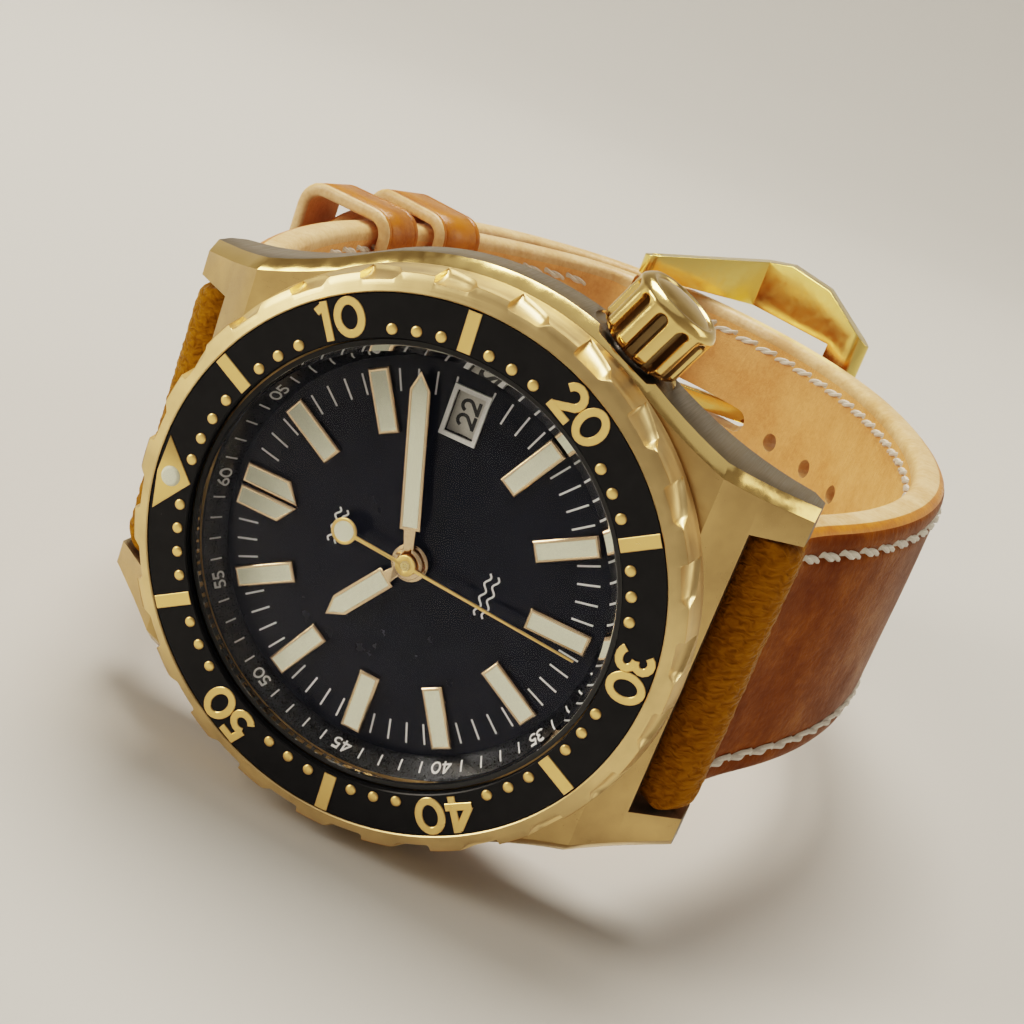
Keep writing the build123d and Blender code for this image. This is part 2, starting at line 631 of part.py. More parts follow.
with BuildPart() as pallet_fork:
    with BuildSketch(face.offset(-8.35)):
        toward_escape = Vector(*ESCAPE_SPOT) - Vector(*PALLET_SPOT)
        toward_balance = (Vector(*BALANCE_SPOT) - Vector(*PALLET_SPOT)).normalized()
        across = Vector(-toward_balance.Y, toward_balance.X)
        middle = Vector(*PALLET_SPOT)
        with BuildLine():
            Polyline(
                middle + across * 0.9, middle + toward_balance * 0.3 + across * 0.25,
                middle + toward_balance * 1.3 + across * 0.2, middle + toward_balance * 1.3 - across * 0.2,
                middle + toward_balance * 0.3 - across * 0.25, middle - across * 0.9,
                middle - across * 0.9 - toward_balance * 0.25, middle + across * 0.9 - toward_balance * 0.25,
                close=True,
            )
        make_face()
    extrude(amount=0.15)
    add(post(PALLET_SPOT, 0.2, BRIDGE_BOTTOM + 0.6, PLATE_BOTTOM - PIVOT_GAP))
save(pallet_fork.part, "pallet_fork")

BALANCE_RADIUS = 4.2
with BuildPart() as balance:
    with BuildSketch(face.offset(-8.85)):
        with Locations(BALANCE_SPOT):
            Circle(BALANCE_RADIUS)
            Circle(BALANCE_RADIUS - 0.5, mode=Mode.SUBTRACT)
            Rectangle(2 * BALANCE_RADIUS - 0.6, 0.5)
            Circle(0.5)
    extrude(amount=0.3)
    add(post(BALANCE_SPOT, 0.2, BRIDGE_BOTTOM + PIVOT_GAP, PLATE_BOTTOM - PIVOT_GAP))
save(balance.part, "balance_wheel")
save(spiral(BALANCE_SPOT, 0.35, 2.4, 5, 0.06, -9.08, -8.95), "hairspring")

save(ring(9.5, 13.55, -4.95, -4.75), "date_disc")

# The rotor's heavy half hangs towards 9 o'clock, which is down as the watch stands.
ROTOR_RADIUS = 13.3
with BuildPart() as rotor:
    with BuildSketch(face.offset(-10.15)):
        Circle(ROTOR_RADIUS)
        with Locations((ROTOR_RADIUS, 0)):
            Rectangle(2 * ROTOR_RADIUS, 2 * ROTOR_RADIUS, mode=Mode.SUBTRACT)
        Circle(2.6)
        Circle(1.36, mode=Mode.SUBTRACT)
        with PolarLocations(6.6, 3, start_angle=135, angular_range=90, endpoint=True):
            Circle(1.8, mode=Mode.SUBTRACT)
    extrude(amount=0.2)
    with BuildSketch(face.offset(-10.65)):
        Circle(ROTOR_RADIUS)
        Circle(10.6, mode=Mode.SUBTRACT)
        with Locations((ROTOR_RADIUS, 0)):
            Rectangle(2 * ROTOR_RADIUS, 2 * ROTOR_RADIUS, mode=Mode.SUBTRACT)
    extrude(amount=0.6)
save(rotor.part, "winding_rotor")
save(turned([
    (0, -10.5), (1.9, -10.5), (1.9, -10.25), (1.3, -10.25), (1.3, BRIDGE_TOP), (0, BRIDGE_TOP),
]), "rotor_bearing")

# ---- crown and stem ----
CROWN_BORE = 2.35
FLUTE_WIDTH = 1.0
STEM_RADIUS = 0.6
KEYLESS_RADIUS = 1.15       # clutch wheel and winding pinion


def along_stem(radius, start, end, bore=0.0):
    """Plain sleeve or rod on the stem's axis, between two distances from the dial's axis."""
    with BuildPart() as piece:
        with BuildSketch(stem.offset(start)):
            Circle(radius)
            if bore > 0:
                Circle(bore, mode=Mode.SUBTRACT)
        extrude(amount=end - start)
    return piece.part


with BuildPart() as crown:
    with BuildSketch(stem_section):
        with BuildLine():
            Polyline(
                (0, CROWN_START + 3.0), (0, CROWN_END + 0.75), (1.6, CROWN_END + 0.62),
                (2.35, CROWN_END + 0.3), (2.6, CROWN_END), (CROWN_RADIUS, CROWN_END - 0.9),
                (CROWN_RADIUS, CROWN_START + 0.6), (2.75, CROWN_START), (CROWN_BORE, CROWN_START),
                (CROWN_BORE, CROWN_START + 3.0), close=True,
            )
        make_face()
    revolve(axis=stem_axis)
    for flute in range(FLUTES):
        outward = stem.x_dir.rotate(Axis((0, 0, 0), stem_direction), 360 * flute / FLUTES)
        middle = stem_origin + outward * (CROWN_RADIUS + 0.25) + stem_direction * (CROWN_START + 1.2)
        with BuildSketch(Plane(origin=middle, x_dir=stem_direction, z_dir=outward)):
            SlotOverall(3.9, FLUTE_WIDTH)
        extrude(amount=-0.7, mode=Mode.SUBTRACT)
save(crown.part, "crown")
save(along_stem(TUBE_RADIUS, BORE_RADIUS + 0.1, 23.2, bore=0.9), "crown_tube")
save(along_stem(CROWN_BORE, 22.0, 22.7, bore=TUBE_RADIUS + 0.05), "crown_gasket")
save(along_stem(STEM_RADIUS, 6.3, CROWN_START + 3.0), "winding_stem")
save(along_stem(KEYLESS_RADIUS, 9.4, 11.0, bore=STEM_RADIUS + 0.08), "clutch_wheel")
save(along_stem(KEYLESS_RADIUS, 11.3, 12.6, bore=STEM_RADIUS + 0.08), "winding_pinion")

# ---- strap ----
LONG_PATH = [
    (21.7, 11.6), (25.0, 20.5), (29.2, 35.0), (29.6, 46.0), (26.2, 60.5), (19.8, 72.5), (10.5, 81.0),
    (0.0, 85.0), (-9.0, 84.7), (-20.2, 77.5), (-28.6, 63.5), (-32.6, 46.0),
]
SHORT_PATH = [
    (-21.7, 11.6), (-25.0, 20.5), (-28.4, 34.0), (-28.8, 46.5), (-25.0, 61.5), (-17.3, 73.5), (-8.8, 79.8),
]


def ribbon(points, start_tangent, end_tangent, thickness, width):
    """Leather strap of even thickness along a smooth path."""
    with BuildPart() as piece:
        with BuildSketch(loop.offset(-width / 2)):
            with BuildLine():
                Spline(*points, tangents=[start_tangent, end_tangent])
            trace(line_width=thickness)
        extrude(amount=width)
    return piece.part


def strap_roll(centre, radius, width):
    """Rolled end of a strap, round its bar."""
    with BuildPart() as piece:
        with BuildSketch(loop.offset(-width / 2)):
            with Locations(centre):
                Circle(radius)
        extrude(amount=width)
    return piece.part


def bar_hole(centre, radius):
    """Hole for a bar, right across the strap."""
    return strap_roll(centre, radius, LUG_WIDTH + 10)


BAR_FRONT = -BAR_HEIGHT
SLOT_CENTRE = 2.5
SLOT_LENGTH = 13.0
with BuildPart() as strap_long:
    add(ribbon(LONG_PATH, (0.15, 1), (-0.1, -1), STRAP_THICKNESS, STRAP_WIDTH))
    add(strap_roll((BAR_REACH, BAR_FRONT), ROLL_RADIUS, STRAP_WIDTH))
    add(bar_hole((BAR_REACH, BAR_FRONT), BAR_RADIUS + 0.02), mode=Mode.SUBTRACT)
    with BuildSketch(Plane(origin=CASE_CENTRE, x_dir=(1, 0, 0), z_dir=(0, 1, 0)).offset(70)):
        with Locations((SLOT_CENTRE, 0)):
            SlotOverall(SLOT_LENGTH, 2.6)
    extrude(amount=30, mode=Mode.SUBTRACT)
save(strap_long.part, "strap_long_piece")

BUCKLE_ROLL = 1.9
with BuildPart() as strap_short:
    add(ribbon(SHORT_PATH, (-0.15, 1), (1, 0.3), STRAP_THICKNESS, STRAP_WIDTH))
    add(strap_roll((-BAR_REACH, BAR_FRONT), ROLL_RADIUS, STRAP_WIDTH))
    add(strap_roll(BUCKLE_BAR, BUCKLE_ROLL, STRAP_WIDTH))
    add(bar_hole((-BAR_REACH, BAR_FRONT), BAR_RADIUS + 0.02), mode=Mode.SUBTRACT)
    add(bar_hole(BUCKLE_BAR, BAR_RADIUS + 0.05), mode=Mode.SUBTRACT)
    # Mouth for the tongue in the middle of the rolled end.
    with BuildSketch(loop.offset(-1.6)):
        with Locations((BUCKLE_BAR[0] + 1.5, BUCKLE_BAR[1])):
            Rectangle(6, 6)
    extrude(amount=3.2, mode=Mode.SUBTRACT)
save(strap_short.part, "strap_short_piece")


def keeper(centre, angle, depth, length):
    """Leather loop round both layers of the strap, across the strap's direction."""
    plane = Plane(
        origin=loop.from_local_coords(Vector(*centre, 0)),
        x_dir=(0, 0, 1),
        z_dir=(-sin(radians(angle)), cos(radians(angle)), 0),
    )
    with BuildPart() as piece:
        with BuildSketch(plane.offset(-length / 2)):
            RectangleRounded(STRAP_WIDTH + 3.6, depth + 2.4, 1.4)
            RectangleRounded(STRAP_WIDTH + 0.9, depth, 0.6, mode=Mode.SUBTRACT)
        extrude(amount=length)
    return piece.part


KEEPER_DEPTH = 8.3
save(keeper((-30.35, 51.5), -10, KEEPER_DEPTH, 6.0), "free_keeper")
save(keeper((-27.4, 61.7), -20, KEEPER_DEPTH, 6.5), "fixed_keeper")

# ---- buckle ----
ARM_PATH = [BUCKLE_BAR, (3.5, 90.0), (16.6, 83.6)]
ARM_WIDTH = 2.6
BUCKLE_FLARE = 17.2         # half of the frame's width where it is widest
BUCKLE_OUTLINE = [(-9.0, 13.2), (6.5, BUCKLE_FLARE), (11.5, 16.6), (18.5, 12.4)]
with BuildPart() as buckle:
    with BuildSketch(loop.offset(-BUCKLE_FLARE)):
        with BuildLine():
            Polyline(*ARM_PATH)
        trace(line_width=ARM_WIDTH)
        with Locations(*ARM_PATH):
            Circle(ARM_WIDTH / 2)
    extrude(amount=2 * BUCKLE_FLARE)
    # Seen from behind, the frame widens from the bar and narrows again to its end.
    back = Plane(origin=CASE_CENTRE, x_dir=(1, 0, 0), z_dir=(0, 1, 0)).offset(75)
    extrude(
        outline(back, BUCKLE_OUTLINE + [(x, -z) for x, z in reversed(BUCKLE_OUTLINE)]),
        amount=20, mode=Mode.INTERSECT,
    )
    with BuildSketch(loop.offset(-BUCKLE_INNER)):
        with BuildLine():
            Polyline(BUCKLE_BAR, (3.5, 90.0), (14.2, 84.8))
        trace(line_width=8)
        with Locations(BUCKLE_BAR):
            Circle(4)
    extrude(amount=2 * BUCKLE_INNER, mode=Mode.SUBTRACT)
    add(bar_hole(BUCKLE_BAR, 0.55), mode=Mode.SUBTRACT)
save(buckle.part, "buckle_frame")

with BuildPart() as buckle_bar:
    add(strap_roll(BUCKLE_BAR, BAR_RADIUS, 2 * BUCKLE_INNER - 0.2))
    add(strap_roll(BUCKLE_BAR, 0.5, 2 * BUCKLE_OUTER - 1))
save(buckle_bar.part, "buckle_spring_bar")

TONGUE_WIDTH = 1.9
with BuildPart() as tongue:
    with BuildSketch(loop.offset(-TONGUE_WIDTH / 2)):
        with BuildLine():
            Polyline(BUCKLE_BAR, (14.6, 87.4), (18.4, 85.7))
        trace(line_width=1.2)
        with Locations(BUCKLE_BAR):
            Circle(1.5)
            Circle(BAR_RADIUS + 0.05, mode=Mode.SUBTRACT)
    extrude(amount=TONGUE_WIDTH)
save(tongue.part, "buckle_tongue")
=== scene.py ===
"""Looks of a dive watch on a buckled leather strap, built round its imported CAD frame.

Lengths are millimetres and are scaled to metres as each mesh is placed. Three frames are used:
dial (x to 3 o'clock, y to 12 o'clock, z out of the dial, from the top of the bezel insert),
loop (x to 6 o'clock, y backwards from the dial, z to 3 o'clock) and the row's own frame.
"""
import json
import math

import bmesh
import bpy
import numpy as np
from mathutils import Matrix, Vector, noise as perlin


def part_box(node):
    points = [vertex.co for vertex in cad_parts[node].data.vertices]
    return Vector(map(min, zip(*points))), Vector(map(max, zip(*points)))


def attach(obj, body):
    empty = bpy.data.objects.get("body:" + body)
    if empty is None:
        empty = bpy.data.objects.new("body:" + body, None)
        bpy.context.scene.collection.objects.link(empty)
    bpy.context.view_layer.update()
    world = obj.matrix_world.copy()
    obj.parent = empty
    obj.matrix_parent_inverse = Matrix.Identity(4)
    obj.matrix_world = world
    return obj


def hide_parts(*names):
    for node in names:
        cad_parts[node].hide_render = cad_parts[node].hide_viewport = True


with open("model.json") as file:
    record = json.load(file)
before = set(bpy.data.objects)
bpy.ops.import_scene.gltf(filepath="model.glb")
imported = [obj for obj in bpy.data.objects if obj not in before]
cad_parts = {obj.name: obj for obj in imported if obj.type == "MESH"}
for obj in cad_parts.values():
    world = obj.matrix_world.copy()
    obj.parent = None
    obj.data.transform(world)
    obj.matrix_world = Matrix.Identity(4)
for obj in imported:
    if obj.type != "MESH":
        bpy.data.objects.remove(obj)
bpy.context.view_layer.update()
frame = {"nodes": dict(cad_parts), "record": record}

MM = 0.001
insert_low, insert_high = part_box("bezel_insert")
CENTRE = Vector(((insert_low.x + insert_high.x) / 2, insert_low.y, (insert_low.z + insert_high.z) / 2))
DIAL = (
    Matrix.Translation(CENTRE)
    @ Matrix(((0, -1, 0, 0), (0, 0, -1, 0), (1, 0, 0, 0), (0, 0, 0, 1)))    # dial's axes in the row frame
    @ Matrix.Scale(MM, 4)
)
LOOP = Matrix.Translation(CENTRE) @ Matrix.Scale(MM, 4)
SLOTS = {part["node"]: part["material_slot"] for part in frame["record"]["subparts"]}
ROUNDED_ANGLE = 28          # degrees: sharper edges are rounded


# ---- mesh helpers ----


class Shape:
    """Vertices and faces collected for one mesh, each face with a material zone."""

    def __init__(self):
        self.verts, self.faces, self.zones = [], [], []

    def add(self, verts, faces, zone=0):
        """More faces over their own vertices, all in one zone or in a list of zones."""
        start = len(self.verts)
        self.verts += [Vector(v) for v in verts]
        self.faces += [[start + i for i in face] for face in faces]
        self.zones += [zone] * len(faces) if isinstance(zone, int) else zone

    def grid(self, rows, zone=0, closed=False, round_rows=False):
        """Quads between rows of points. closed joins a row's ends, round_rows the last row and the first."""
        width = len(rows[0])
        faces = []
        for i in range(len(rows) if round_rows else len(rows) - 1):
            for j in range(width if closed else width - 1):
                a, b = i * width, (i + 1) % len(rows) * width
                k = (j + 1) % width
                faces.append((a + j, b + j, b + k, a + k))
        self.add([p for row in rows for p in row], faces, zone)


def finish_piece(name, shape, place, body, materials, replaces=(), smooth=40.0):
    """Object made from a shape, placed in the row frame, riding on a body."""
    mesh = bpy.data.meshes.new(name)
    mesh.from_pydata([place @ v for v in shape.verts], [], shape.faces)
    for material in materials:
        mesh.materials.append(material)
    mesh.polygons.foreach_set("material_index", shape.zones)
    work = bmesh.new()
    work.from_mesh(mesh)
    bmesh.ops.remove_doubles(work, verts=work.verts, dist=1e-7)
    bmesh.ops.recalc_face_normals(work, faces=work.faces)
    sharpen(work, smooth)
    work.to_mesh(mesh)
    work.free()
    piece = bpy.data.objects.new(name, mesh)
    bpy.context.scene.collection.objects.link(piece)
    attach(piece, body)
    if replaces:
        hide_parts(*replaces)
    return piece


def round_edges(piece, width, segments=2):
    """Small rounding, in millimetres, on every sharp edge of a piece."""
    bevel = piece.modifiers.new("rounded edges", "BEVEL")
    bevel.width = width * MM
    bevel.segments = segments
    bevel.limit_method = "ANGLE"
    bevel.angle_limit = math.radians(ROUNDED_ANGLE)
    bevel.harden_normals = True


def sharpen(work, angle):
    """Smooth shading that breaks at edges sharper than an angle."""
    for face in work.faces:
        face.smooth = True
    for edge in work.edges:
        edge.smooth = len(edge.link_faces) != 2 or edge.calc_face_angle() < math.radians(angle)


def soften(node, width, materials, zone=None, segments=2):
    """Stand-in for a CAD node: its own mesh with the sharp edges rounded."""
    mesh = frame["nodes"][node].data.copy()
    mesh.name = f"{node}_finished"
    mesh.materials.clear()
    for material in materials:
        mesh.materials.append(material)
    work = bmesh.new()
    work.from_mesh(mesh)
    bmesh.ops.remove_doubles(work, verts=work.verts, dist=2e-6)
    bmesh.ops.dissolve_limit(work, angle_limit=math.radians(0.4), verts=work.verts, edges=work.edges)
    for face in work.faces:
        face.smooth = True
        face.material_index = zone(face) if zone else 0
    work.to_mesh(mesh)
    work.free()
    piece = bpy.data.objects.new(f"{node}_finished", mesh)
    bpy.context.scene.collection.objects.link(piece)
    round_edges(piece, width, segments)
    body = next(b for b, nodes in frame["record"]["behaviour"]["bodies"].items() if node in nodes)
    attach(piece, body)
    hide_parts(node)


def polar(angle, radius, z=0.0):
    """Dial point at an angle in degrees clockwise from 12 o'clock."""
    turn = math.radians(angle)
    return Vector((radius * math.sin(turn), radius * math.cos(turn), z))


def lathe(shape, profile, steps=240):
    """Turned surface about the dial's axis from (radius, height) points."""
    rows = [[polar(360 * i / steps, r, z) for r, z in profile] for i in range(steps)]
    shape.grid(rows, round_rows=True)


# ---- material helpers ----


def node(tree, kind, settings=(), **inputs):
    """Shader node with its settings and inputs, which are named, or numbered as i0, i1 and so on.

    An input is a value or another node's output.
    """
    made = tree.nodes.new("ShaderNode" + kind)
    for key, value in settings:
        setattr(made, key, value)
    for key, value in inputs.items():
        numbered = key[0] == "i" and key[1:].isdigit()
        socket = made.inputs[int(key[1:]) if numbered else key.replace("_", " ")]
        if isinstance(value, bpy.types.NodeSocket):
            tree.links.new(value, socket)
        else:
            socket.default_value = value
    return made


def surface(name, colour, roughness, metallic=0.0, **sockets):
    """Material with plain values, and its tree and shader."""
    material = bpy.data.materials.new(name)
    material.use_nodes = True
    tree = material.node_tree
    shader = tree.nodes["Principled BSDF"]
    shader.inputs["Base Color"].default_value = (*colour, 1)
    shader.inputs["Roughness"].default_value = roughness
    shader.inputs["Metallic"].default_value = metallic
    for key, value in sockets.items():
        shader.inputs[key.replace("_", " ")].default_value = value
    return material, tree, shader


def place_of(tree):
    """Row-frame position, in millimetres."""
    where = node(tree, "TexCoord").outputs["Object"]
    return node(tree, "Mapping", Vector=where, Scale=(1000, 1000, 1000)).outputs[0]


def noise(tree, where, scale, stretch=(1, 1, 1), detail=3.0, roughness=0.55):
    """Noise factor. stretch multiplies the position first, so that small numbers draw it out."""
    stretched = node(tree, "Mapping", Vector=where, Scale=stretch).outputs[0]
    made = node(tree, "TexNoise", Vector=stretched, Scale=scale, Detail=detail, Roughness=roughness)
    return made.outputs["Fac"]


def ramp(tree, factor, *stops):
    """Colour ramp output from (position, colour) stops."""
    made = node(tree, "ValToRGB", Fac=factor)
    elements = made.color_ramp.elements
    while len(elements) < len(stops):
        elements.new(0.5)
    for element, (position, colour) in zip(elements, stops):
        element.position = position
        element.color = (*colour, 1)
    return made.outputs["Color"]


def span(tree, factor, low, high, source=(0.0, 1.0)):
    """Factor mapped from its source range to another."""
    made = node(tree, "MapRange", Value=factor)
    for key, value in zip(("From Min", "From Max", "To Min", "To Max"), (*source, low, high)):
        made.inputs[key].default_value = value
    return made.outputs["Result"]


def maths(tree, operation, a, b=0.0):
    """Result of one arithmetic step on two values or outputs."""
    return node(tree, "Math", [("operation", operation)], i0=a, i1=b).outputs[0]


def bump(tree, shader, height, depth):
    """Relief of a depth in millimetres, linked to the shader's normal."""
    made = node(tree, "Bump", Height=height, Distance=depth * MM, Strength=1.0)
    tree.links.new(made.outputs["Normal"], shader.inputs["Normal"])


def clouded(tree, shader, factor, low, dark, high, light):
    """Base colour that drifts from dark to light as a factor goes from low to high."""
    tree.links.new(ramp(tree, factor, (low, dark), (high, light)), shader.inputs["Base Color"])


def uneven_sheen(tree, shader, lines, cloud, roughness, fine, broad):
    """Roughness that varies by a fine amount with the lines and a broad one with the cloud."""
    change = span(tree, lines, -fine, fine, (0.3, 0.7))
    level = span(tree, cloud, roughness - broad, roughness + broad)
    tree.links.new(maths(tree, "ADD", change, level), shader.inputs["Roughness"])


def weighted(tree, first, second, share):
    """Sum of two factors, the second with a share of the weight."""
    parts = maths(tree, "MULTIPLY", first, 1 - share), maths(tree, "MULTIPLY", second, share)
    return maths(tree, "ADD", *parts)


# ---- materials ----
BRONZE = (0.60, 0.39, 0.17)


def brushed(name, colour, roughness, stretch, depth=0.004):
    """Metal with fine brushing drawn out along the axis whose stretch is small."""
    material, tree, shader = surface(name, colour, roughness, 1.0)
    where = place_of(tree)
    lines = noise(tree, where, 9.0, stretch, detail=6.0)
    cloud = noise(tree, where, 0.25)
    clouded(tree, shader, cloud, 0.35, [0.75 * c for c in colour], 0.65, colour)
    uneven_sheen(tree, shader, lines, cloud, roughness, 0.07, 0.05)
    bump(tree, shader, lines, depth)
    return material


def circular(name, colour, roughness, depth=0.003):
    """Metal brushed round the dial's axis."""
    material, tree, shader = surface(name, colour, roughness, 1.0)
    where = place_of(tree)
    to_axis = [-c / MM for c in CENTRE]
    moved = node(tree, "VectorMath", [("operation", "ADD")], i0=where, i1=to_axis).outputs[0]
    x, y, z = node(tree, "SeparateXYZ", Vector=moved).outputs
    squares = maths(tree, "ADD", maths(tree, "MULTIPLY", x, x), maths(tree, "MULTIPLY", z, z))
    rings = maths(tree, "MULTIPLY", maths(tree, "SQRT", squares), 9.0)
    lines_at = node(tree, "CombineXYZ", X=rings, Y=y).outputs[0]
    lines = node(tree, "TexNoise", Vector=lines_at, Scale=1.2, Detail=4.0).outputs["Fac"]
    cloud = noise(tree, where, 0.3)
    clouded(tree, shader, cloud, 0.35, [0.8 * c for c in colour], 0.65, colour)
    uneven_sheen(tree, shader, lines, cloud, roughness, 0.06, 0.04)
    bump(tree, shader, lines, depth)
    return material


def polished(name, colour, roughness, depth=0.002):
    """Bright metal with faint unevenness and handling marks."""
    material, tree, shader = surface(name, colour, roughness, 1.0)
    where = place_of(tree)
    smear = noise(tree, where, 1.3, detail=4.0)
    sheen = span(tree, smear, roughness - 0.05, roughness + 0.09, (0.3, 0.75))
    tree.links.new(sheen, shader.inputs["Roughness"])
    bump(tree, shader, noise(tree, where, 3.0), depth)
    return material


def lacquer(name, colour, roughness):
    """Glossy dark lacquer with a trace of fine dust in its sheen."""
    material, tree, shader = surface(name, colour, roughness, Specular_IOR_Level=0.18)
    haze = noise(tree, place_of(tree), 0.7, detail=5.0)
    clouded(tree, shader, haze, 0.3, colour, 0.7, [1.25 * c + 0.002 for c in colour])
    tree.links.new(span(tree, haze, roughness - 0.04, roughness + 0.06), shader.inputs["Roughness"])
    return material


def paint(name, colour, roughness, depth=0.01, scale=9.0):
    """Matt paint, plastic, rubber or lume with a fine grain."""
    material, tree, shader = surface(name, colour, roughness)
    grain = noise(tree, place_of(tree), scale, detail=4.0)
    clouded(tree, shader, grain, 0.3, [0.86 * c for c in colour], 0.65, colour)
    tree.links.new(span(tree, grain, roughness - 0.06, roughness + 0.06), shader.inputs["Roughness"])
    bump(tree, shader, grain, depth)
    return material


def clear_glass():
    """Crystal that bends the view and lets the lamps through to the dial."""
    faint_blue = (0.06, 0.07, 0.12, 1)
    material, tree, shader = surface(
        "crystal_glass", (1, 1, 1), 0.0, Transmission_Weight=1.0, IOR=1.5, Specular_Tint=faint_blue
    )
    lamps = node(tree, "LightPath").outputs["Is Shadow Ray"]
    through = node(tree, "BsdfTransparent")
    mixed = node(tree, "MixShader", i0=lamps, i1=shader.outputs[0], i2=through.outputs[0])
    tree.links.new(mixed.outputs[0], tree.nodes["Material Output"].inputs["Surface"])
    return material


LOOKS = {
    "bronze_brushed": brushed("bronze_brushed", BRONZE, 0.34, (0.06, 1, 1)),
    "bronze_caseback": circular("bronze_caseback", BRONZE, 0.30),
    "bronze_satin": circular("bronze_satin", (0.86, 0.60, 0.29), 0.38),
    "bronze_polished": polished("bronze_polished", (0.84, 0.56, 0.22), 0.16),
    "buckle_gold": polished("buckle_gold", (0.90, 0.65, 0.22), 0.18),
    "insert_black": lacquer("insert_black", (0.006, 0.006, 0.007), 0.24),
    "lume": paint("lume", (0.86, 0.87, 0.68), 0.45, 0.006, 14.0),
    "crystal_glass": clear_glass(),
    "gasket_rubber": paint("gasket_rubber", (0.02, 0.02, 0.02), 0.6),
    "chapter_black": brushed("chapter_black", (0.10, 0.105, 0.115), 0.30, (1, 1, 1), 0.001),
    "dial_black": lacquer("dial_black", (0.003, 0.004, 0.008), 0.16),
    "gilt_frame": polished("gilt_frame", (0.72, 0.52, 0.33), 0.2, 0.001),
    "date_frame_white": paint("date_frame_white", (0.75, 0.75, 0.73), 0.4, 0.004),
    "date_disc_white": paint("date_disc_white", (0.66, 0.64, 0.58), 0.5, 0.004),
    "steel": brushed("steel", (0.58, 0.58, 0.60), 0.28, (1, 0.1, 1), 0.002),
    "movement_nickel": brushed("movement_nickel", (0.66, 0.64, 0.60), 0.26, (1, 1, 0.08), 0.003),
    "movement_brass": circular("movement_brass", (0.78, 0.58, 0.28), 0.28),
    "rotor_metal": brushed("rotor_metal", (0.60, 0.60, 0.61), 0.26, (1, 1, 0.08), 0.004),
    "holder_plastic": paint("holder_plastic", (0.60, 0.60, 0.57), 0.5),
    "strap_leather": paint("strap_leather", (0.40, 0.14, 0.02), 0.4),
}
# Brushed bronze darkened for the case's flank and lug sides, as painted shade.
FLANK_SHADED = brushed("case_flank_shaded", (0.20, 0.15, 0.09), 0.40, (1.6, 0.03, 1.6), 0.004)
# Darker, rougher bronze for the deep parts of the crown's flutes: painted shade in the hollows.
FLUTE_SHADE = brushed("bronze_flute_shade", (0.26, 0.18, 0.085), 0.42, (1, 1, 1), 0.004)
RAISED = polished("insert_gilt", (0.95, 0.62, 0.24), 0.32, 0.002)


def leather(name, light, dark, roughness, coat, pores=0.03, fibres=0.0):
    """Vegetable-tanned leather: cloudy colour, fine pores and creases, and fibres on a raw side."""
    material, tree, shader = surface(
        name, light, roughness, Coat_Weight=coat, Coat_Roughness=0.3, Specular_IOR_Level=0.4
    )
    where = place_of(tree)
    cloud = noise(tree, where, 0.22, detail=6.0, roughness=0.62)
    speck = noise(tree, where, 2.2, detail=3.0)
    mottle = weighted(tree, cloud, speck, 0.3)
    clouded(tree, shader, mottle, 0.38, dark, 0.60, light)
    grain = noise(tree, where, 6.0, detail=3.0)
    creases = noise(tree, where, 1.1, detail=5.0)
    sheen = span(tree, mottle, roughness + 0.08, roughness - 0.06, (0.35, 0.65))
    tree.links.new(sheen, shader.inputs["Roughness"])
    relief = maths(tree, "ADD", grain, maths(tree, "MULTIPLY", creases, 1.6))
    if fibres:
        hairs = noise(tree, where, 5.0, (1, 1, 0.25), detail=6.0)
        relief = maths(tree, "ADD", relief, maths(tree, "MULTIPLY", hairs, fibres))
    bump(tree, shader, relief, pores)
    return material


def rolled_leather():
    """Outer face of the strap: smooth cognac, turning to wrinkled ochre on the rolled ends at the lugs, where
    the folds also get painted highlight on their crests and painted shade in their troughs.
    """
    waxy = (1.0, 0.6, 0.2, 1)
    material, tree, shader = surface(
        "leather_outer", (0.22, 0.062, 0.001), 0.42, Specular_IOR_Level=0.03, Specular_Tint=waxy
    )
    where = place_of(tree)
    depth = node(tree, "SeparateXYZ", Vector=where).outputs[1]
    roll_end = CENTRE.y / MM + 12.9    # how far back the rolls reach
    rolled = span(tree, depth, 1.0, 0.0, (roll_end - 0.5, roll_end + 0.6))
    cloud = noise(tree, where, 0.20, detail=6.0, roughness=0.6)
    speck = noise(tree, where, 1.8, detail=4.0)
    mottle = weighted(tree, cloud, speck, 0.28)
    dark, middle, light = (0.125, 0.028, 0.0001), (0.19, 0.048, 0.0001), (0.30, 0.090, 0.0003)
    body = ramp(tree, mottle, (0.34, dark), (0.50, middle), (0.68, light))
    wander = maths(tree, "MULTIPLY", noise(tree, where, 1.4, detail=1.0), 0.8)
    shifted = node(tree, "VectorMath", [("operation", "ADD")], i0=where, i1=wander).outputs[0]
    wrinkle = noise(tree, shifted, 2.2, (0.6, 0.6, 1.6), detail=1.0, roughness=0.4)
    # The rolled ends' ochre follows the fold pattern: painted highlight on the fold crests and painted shade
    # in the troughs.
    band = ramp(tree, wrinkle, (0.30, (0.23, 0.088, 0.0015)), (0.62, (0.36, 0.145, 0.003)))
    colour = node(tree, "Mix", [("data_type", "RGBA")], i0=rolled, i6=body, i7=band).outputs[2]
    tree.links.new(colour, shader.inputs["Base Color"])
    tree.links.new(span(tree, mottle, 0.46, 0.30, (0.35, 0.65)), shader.inputs["Roughness"])
    folds = maths(tree, "MULTIPLY", maths(tree, "MULTIPLY", wrinkle, rolled), 6.0)
    pores = noise(tree, where, 5.0, detail=2.0)
    relief = maths(tree, "ADD", folds, maths(tree, "ADD", maths(tree, "MULTIPLY", pores, 0.5), speck))
    bump(tree, shader, relief, 0.05)
    return material


